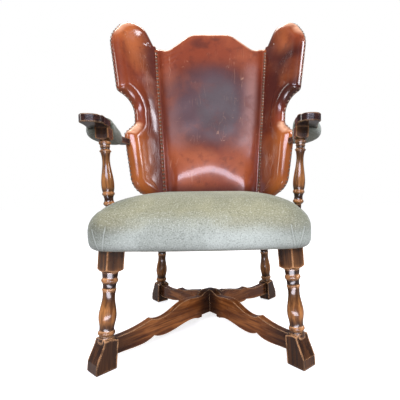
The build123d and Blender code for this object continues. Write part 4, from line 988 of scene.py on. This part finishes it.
def back_lift(x, z, side_gap):
    """How far the back's leather stands off its frame: pad, lumbar swell, sat-in hollow and creases."""
    gap = max(0.0, side_gap - PAD_MARGIN)
    ease = smooth_step(gap, 0.0, PAD_EASE)
    lift = PAD_RISE * (1 - math.exp(-gap / PAD_EDGE))
    swell_z = SWELL_Z - SWELL_BOW * ((x - SWELL_BOW_MIDDLE) / SWELL_BOW_HALF) ** 2
    lift += SWELL * math.exp(-((z - swell_z) / SWELL_HALF) ** 2) * ease
    hollow = ((x - HOLLOW_MIDDLE[0]) / HOLLOW_HALF[0]) ** 2 + ((z - HOLLOW_MIDDLE[1]) / HOLLOW_HALF[1]) ** 2
    lift -= HOLLOW * math.exp(-hollow * hollow) * ease
    for across, up, layer, height in BACK_WAVES:
        lift += noise.noise(Vector((x * across, layer, z * up))) * height * ease
    corner = smooth_step(abs(x), *FOLD_OUT) * smooth_step(z, *FOLD_UP)
    wobble = noise.noise(Vector((x * FOLD_WOBBLE_WAVES, 2.0, z * FOLD_WOBBLE_WAVES)))
    fold = math.sin((abs(x) * FOLD_SLANT + z) * FOLD_TURN + FOLD_WOBBLE * wobble)
    return lift + fold * FOLD * corner * smooth_step(gap, 0.0, FOLD_EASE)


def back_point(across, up):
    """Place on the inside back, at shares of its width, from -1 to 1, and of its height."""
    top = crest_z(across * (SEAM_HIGH.x - CREST_INSET))
    z = BACK_LOW_Z + (top - BACK_LOW_Z) * up ** ROW_CROWDING
    seam = seam_at(z)
    x = across * seam.x
    lift = back_lift(x, z, seam.x - abs(x))
    top_gap = (top - z) / BACK_UP.z
    roll = (CREST_ROLL + lift * CREST_LIFT_SHARE) * quarter_round(max(0.0, 1 - top_gap / CREST_ROLL))
    return Vector((x, seam.y, z)) + BACK_FACE * (lift - roll)


def over_crest(point, share):
    """Place on the way from a point of the crest over to the outside back."""
    (low_z, low_y), (high_z, high_y) = OUTSIDE_LOW, OUTSIDE_HIGH
    outer_y = low_y + (point.z - low_z) * (high_y - low_y) / (high_z - low_z)
    return Vector((point.x, point.y + (outer_y - point.y) * share,
                   point.z + math.sin(share * math.pi) * CREST_RISE))


def make_back(material):
    """Leather of the inside back: red margins, a raised pad, and a roll over the crest."""
    bm = bmesh.new()
    rows = []
    for j in range(BACK_ROWS + 1):
        rows.append([back_point(i / BACK_COLUMNS * 2 - 1, j / BACK_ROWS) for i in range(BACK_COLUMNS + 1)])
    crest = rows[-1]
    rows += [[over_crest(point, share) for point in crest] for share in OVER_CREST_SHARES]
    grid = [[bm.verts.new(place) for place in row] for row in rows]
    for low, high in zip(grid, grid[1:]):
        for i in range(BACK_COLUMNS):
            bm.faces.new((low[i], low[i + 1], high[i + 1], high[i]))
    piece = new_object("back_cover", bm, material)
    thick = piece.modifiers.new("thick", "SOLIDIFY")
    thick.thickness = LEATHER
    thick.offset = -1.0
    bake(piece)
    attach(piece, "root")
    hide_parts("back_leather", "back_padding")


# The seat

# Height of each ring over the floor and how far it is drawn in, in millimetres, from the hem to the crown
SEAT_RINGS = (
    (298.3, 13.0), (305.0, 5.0), (314.0, 1.4), (330.0, 0.0), (348.0, 0.0), (362.0, 2.0), (376.0, 7.5),
    (389.0, 17.0), (400.5, 32.0), (410.5, 52.0), (419.5, 75.0), (427.5, 103.0), (433.5, 134.0),
    (437.5, 168.0), (438.5, 205.0),
)

# The seat's plan: half widths at the front corners, at the bowed sides and at the rear, and its corners
SEAT_HALF = 0.279
SEAT_BOW = 0.286
SEAT_REAR_HALF = 0.258
SEAT_FRONT_Y = -0.341
SEAT_REAR_Y = 0.267
SEAT_BOW_Y = -0.132
SEAT_CORNER = 0.055
SEAT_REAR_CORNER = 0.024
SEAT_FRONT_BOW = 0.016
SEAT_SHOULDER = 0.224
DIAGONAL = math.sin(math.radians(45))

# Points along each stretch of the plan
FRONT_STEPS = 60
CORNER_STEPS = 14
SIDE_STEPS = 50
REAR_CORNER_STEPS = 8
REAR_STEPS = 40

# The puffing of the seat, which is held under one height and keeps flat under another
SEAT_PRESSURE = 4.0
SEAT_PUFF = 6 * MM
SEAT_VOXEL = 5 * MM
SEAT_HELD = 303 * MM
SEAT_FLOOR = 300 * MM


def arc(a, b, c, steps):
    """Points on the circle from a through b to c, without the last."""
    (ax, ay), (bx, by), (cx, cy) = a, b, c
    aa, bb, cc = ax * ax + ay * ay, bx * bx + by * by, cx * cx + cy * cy
    d = 2 * (ax * (by - cy) + bx * (cy - ay) + cx * (ay - by))
    middle_x = (aa * (by - cy) + bb * (cy - ay) + cc * (ay - by)) / d
    middle_y = (aa * (cx - bx) + bb * (ax - cx) + cc * (bx - ax)) / d
    start, half_way, end = (math.atan2(y - middle_y, x - middle_x) for x, y in (a, b, c))
    turn = (end - start) % (2 * math.pi)
    if (half_way - start) % (2 * math.pi) > turn:
        turn -= 2 * math.pi
    radius = math.hypot(ax - middle_x, ay - middle_y)
    angles = [start + turn * k / steps for k in range(steps)]
    return [(middle_x + radius * math.cos(angle), middle_y + radius * math.sin(angle)) for angle in angles]


def seat_ring(inset):
    """Plan of the seat, drawn in by inset."""
    bend = DIAGONAL * SEAT_CORNER
    rear_bend = (1 - DIAGONAL) * SEAT_REAR_CORNER
    corner_y = SEAT_FRONT_Y + SEAT_FRONT_BOW + SEAT_CORNER
    right = [(SEAT_SHOULDER, SEAT_FRONT_Y + SEAT_FRONT_BOW),
             (SEAT_HALF - SEAT_CORNER + bend, corner_y - bend),
             (SEAT_HALF, corner_y),
             (SEAT_BOW, SEAT_BOW_Y),
             (SEAT_REAR_HALF, SEAT_REAR_Y - SEAT_REAR_CORNER),
             (SEAT_REAR_HALF - rear_bend, SEAT_REAR_Y - rear_bend),
             (SEAT_REAR_HALF - SEAT_REAR_CORNER, SEAT_REAR_Y)]
    left = [(-x, y) for x, y in right]
    arcs = ((0, CORNER_STEPS), (2, SIDE_STEPS), (4, REAR_CORNER_STEPS))
    points = arc(left[0], (0, SEAT_FRONT_Y), right[0], FRONT_STEPS)
    for k, steps in arcs:
        points += arc(*right[k:k + 3], steps)
    points += [(right[6][0] * (1 - 2 * k / REAR_STEPS), SEAT_REAR_Y) for k in range(REAR_STEPS)]
    for k, steps in reversed(arcs):
        points += arc(*left[k:k + 3][::-1], steps)
    middle_y, half_depth = (SEAT_FRONT_Y + SEAT_REAR_Y) / 2, (SEAT_REAR_Y - SEAT_FRONT_Y) / 2
    wide = (SEAT_BOW - inset) / SEAT_BOW
    deep = (half_depth - inset) / half_depth
    return [(x * wide, middle_y + (y - middle_y) * deep) for x, y in points]


def make_seat(material):
    """Velvet seat: crowned, drawn in at its hem, puffed by a short cloth simulation."""
    bm = bmesh.new()
    rings = []
    for height, inset in SEAT_RINGS:
        rings.append([bm.verts.new((x, y, height * MM)) for x, y in seat_ring(inset * MM)])
    for low, high in zip(rings, rings[1:]):
        bridge(bm, low, high)
    bm.faces.new(rings[0])
    bm.faces.new(rings[-1])
    piece = new_object("seat_velvet", bm, material)
    inflate(piece, SEAT_PRESSURE, SEAT_PUFF, SEAT_VOXEL, SEAT_HELD, SEAT_FLOOR)
    subdivide(piece)
    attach(piece, "root")
    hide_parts("seat_cover", "seat_padding")


# The arm pads

PAD_WELD = 0.02 * MM
PAD_PRESSURE = 3.0
PAD_PUFF = 3 * MM
PAD_VOXEL = 4 * MM


def make_arm_pad(name, material):
    """Velvet pad wrapped round one arm."""
    bm = bmesh.new()
    bm.from_mesh(NODES[f"arm_pad_{name}"].data)
    bmesh.ops.remove_doubles(bm, verts=bm.verts, dist=PAD_WELD)
    piece = new_object(f"arm_velvet_{name}", bm, material)
    inflate(piece, PAD_PRESSURE, PAD_PUFF, PAD_VOXEL)
    smooth = piece.modifiers.new("smooth", "SMOOTH")
    smooth.factor = 0.5
    smooth.iterations = 6
    subdivide(piece)
    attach(piece, "root")
    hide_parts(f"arm_pad_{name}")


# The nodes of the frame that stay in view

WORN_EDGE = 2.2 * MM
WORN_EDGE_ANGLE = math.radians(40)


def turned_finishes():
    """A turned wood for each leg and arm post, along its own axis."""
    finishes = {}
    for kind, foot in (("front_leg", FRONT_FOOT), ("rear_leg", REAR_FOOT)):
        for side, name in SIDES:
            place = mirrored(foot, side)
            away = (place - CROSSING).normalized()
            axis = UP * math.cos(LEG_LEAN) - away * math.sin(LEG_LEAN)
            finishes[f"{kind}_{name}"] = turned_wood(f"{kind}_wood_{name}", place, axis, LEG_ZONES,
                                                     LEG_CORNER, 0.9)
    for side, name in SIDES:
        axis = Vector((math.sin(POST_LEAN) * side, 0, math.cos(POST_LEAN)))
        finishes[f"arm_post_{name}"] = turned_wood(f"post_wood_{name}", mirrored(POST_FOOT, side), axis,
                                                   POST_ZONES, POST_CORNER, 0.35)
    return finishes


def dress_frame():
    """Materials for the nodes of the frame, by the start of their names, and worn edges on the boards."""
    finishes = turned_finishes()
    for name in ("stretcher_lower", "stretcher_upper"):
        finishes[name] = wood(f"{name}_wood", run_of(name), BOARD, 0.9, 0.26, stretcher_shade_and_dark_ends)
    finishes["arm"] = wood("arm_wood", (0, 1, 0), ARM, 0.5, 0.2)
    bare = wood("frame_wood", (1, 0, 0), BARE, 0.0, 0.6)
    brass = metal("nail_metal", NAIL, 0.3)
    steel = metal("spring_metal", STEEL, 0.4)
    outer = leather("outer_leather", OUTER_TONES, 0.3)
    hessian = plain_cloth("hessian", HESSIAN)
    black = plain_cloth("black_cloth", BLACK)
    for material, starts in (
            (brass, ("seam_nails", "wing_edge_nails")),
            (steel, ("seat_springs", "spring_clips", "corner_block_screws")),
            (bare, ("seat_rail", "corner_block", "back_post", "crest", "lower_back", "wing_frame")),
            (outer, ("outside", "seam_welt", "back_leather", "wing_leather", "post_leather")),
            (black, ("dust_cover",))):
        finishes.update(dict.fromkeys(starts, material))
    for name, node in NODES.items():
        material = next((finishes[start] for start in finishes if name.startswith(start)), hessian)
        node.data.materials.clear()
        node.data.materials.append(material)
    for name in ("arm_left", "arm_right", "stretcher_lower", "stretcher_upper"):
        bevel = NODES[name].modifiers.new("worn_edge", "BEVEL")
        bevel.width = WORN_EDGE
        bevel.segments = 3
        bevel.limit_method = "ANGLE"
        bevel.angle_limit = WORN_EDGE_ANGLE


# The room

FLOOR_HALF = 14.0

# The floor's colour for the light and for the camera, and how much it glows for the camera
FLOOR_LIT = (0.32, 0.3, 0.29)
FLOOR_SEEN = (0.9, 0.9, 0.9)
FLOOR_GLOW = 0.62

# The world's colour and strength: for everything, then for what reflections and the camera see instead
WORLD = (
    (None, (0.95, 0.96, 1.0), 0.55),
    ("Is Glossy Ray", (0.8, 0.85, 1.0), 0.16),
    ("Is Camera Ray", (1.0, 1.0, 1.0), 1.0),
)

# Lamps: name, place, what each is aimed at, size, power in watts and colour
LAMPS = (
    ("window", (-0.1, -2.5, 1.62), (0, 0.1, 0.6), (2.1, 0.6), 60.0, (0.84, 0.82, 1.0)),
    ("high", (0.5, -1.9, 3.0), (0, 0, 0.5), (1.6, 1.2), 40.0, (1.0, 0.97, 0.93)),
    ("over", (-0.5, 1.1, 2.9), (0, 0.2, 1.0), (2.2, 0.7), 30.0, (1.0, 0.98, 0.95)),
    ("side", (2.5, -0.3, 1.9), (0, 0.1, 0.8), (0.6, 0.8), 30.0, (0.93, 0.92, 1.0)),
    ("other_side", (-2.5, -0.5, 1.5), (0, 0.1, 0.7), (0.4, 0.8), 9.0, (1.0, 0.96, 0.92)),
    ("floor_gleam", (0.0, -1.15, 0.01), (0.0, -1.15, 1.0), (0.9, 1.1), 48.0, (0.9, 0.88, 1.0)),
)


def make_floor():
    """Plain floor that the camera sees as white, with a soft shadow."""
    bm = bmesh.new()
    bmesh.ops.create_grid(bm, x_segments=2, y_segments=2, size=FLOOR_HALF)
    s = Shader("floor")
    seen = s.node("LightPath").outputs["Is Camera Ray"]
    s.finish(s.mix(seen, FLOOR_LIT, FLOOR_SEEN), 0.8, Specular_IOR_Level=0.0,
             Emission_Color=(1.0, 1.0, 1.0), Emission_Strength=s.times(seen, FLOOR_GLOW))
    new_object("floor", bm, s.material)


def make_world():
    """Dim room that the camera sees as white."""
    world = bpy.data.worlds.new("world")
    bpy.context.scene.world = world
    world.use_nodes = True
    tree = world.node_tree
    tree.nodes.clear()
    path = tree.nodes.new("ShaderNodeLightPath")
    shade = None
    for ray, colour, strength in WORLD:
        node = tree.nodes.new("ShaderNodeBackground")
        node.inputs[0].default_value = (*colour, 1.0)
        node.inputs[1].default_value = strength
        if ray is None:
            shade = node.outputs[0]
            continue
        blend = tree.nodes.new("ShaderNodeMixShader")
        tree.links.new(path.outputs[ray], blend.inputs[0])
        tree.links.new(shade, blend.inputs[1])
        tree.links.new(node.outputs[0], blend.inputs[2])
        shade = blend.outputs[0]
    out = tree.nodes.new("ShaderNodeOutputWorld")
    tree.links.new(shade, out.inputs[0])


def make_lamps():
    """Window-like lights that the camera doesn't see."""
    for name, place, aim, size, power, colour in LAMPS:
        data = bpy.data.lights.new(name, "AREA")
        data.shape = "RECTANGLE"
        data.size, data.size_y = size
        data.energy = power
        data.color = colour
        lamp = bpy.data.objects.new(name, data)
        bpy.context.scene.collection.objects.link(lamp)
        lamp.location = place
        lamp.visible_camera = False
        lamp.visible_glossy = name != "high"
        lamp.visible_diffuse = name != "floor_gleam"
        lamp.rotation_euler = (Vector(aim) - Vector(place)).to_track_quat("-Z", "Y").to_euler()


def main():
    """Set the stage, dress the frame, and make the pieces that stand for the soft nodes."""
    make_camera()
    bpy.context.scene.view_settings.view_transform = "Standard"
    make_floor()
    make_world()
    make_lamps()
    dress_frame()
    wing_skin = leather("wing_skin", WING_TONES, 0.24, wing_zones)
    back_skin = leather("back_skin", BACK_TONES, 0.32, back_zones)
    green = velvet("velvet")
    make_back(back_skin)
    for side, name in SIDES:
        make_wing(side, name, wing_skin)
        make_arm_pad(name, green)
    make_seat(green)


main()
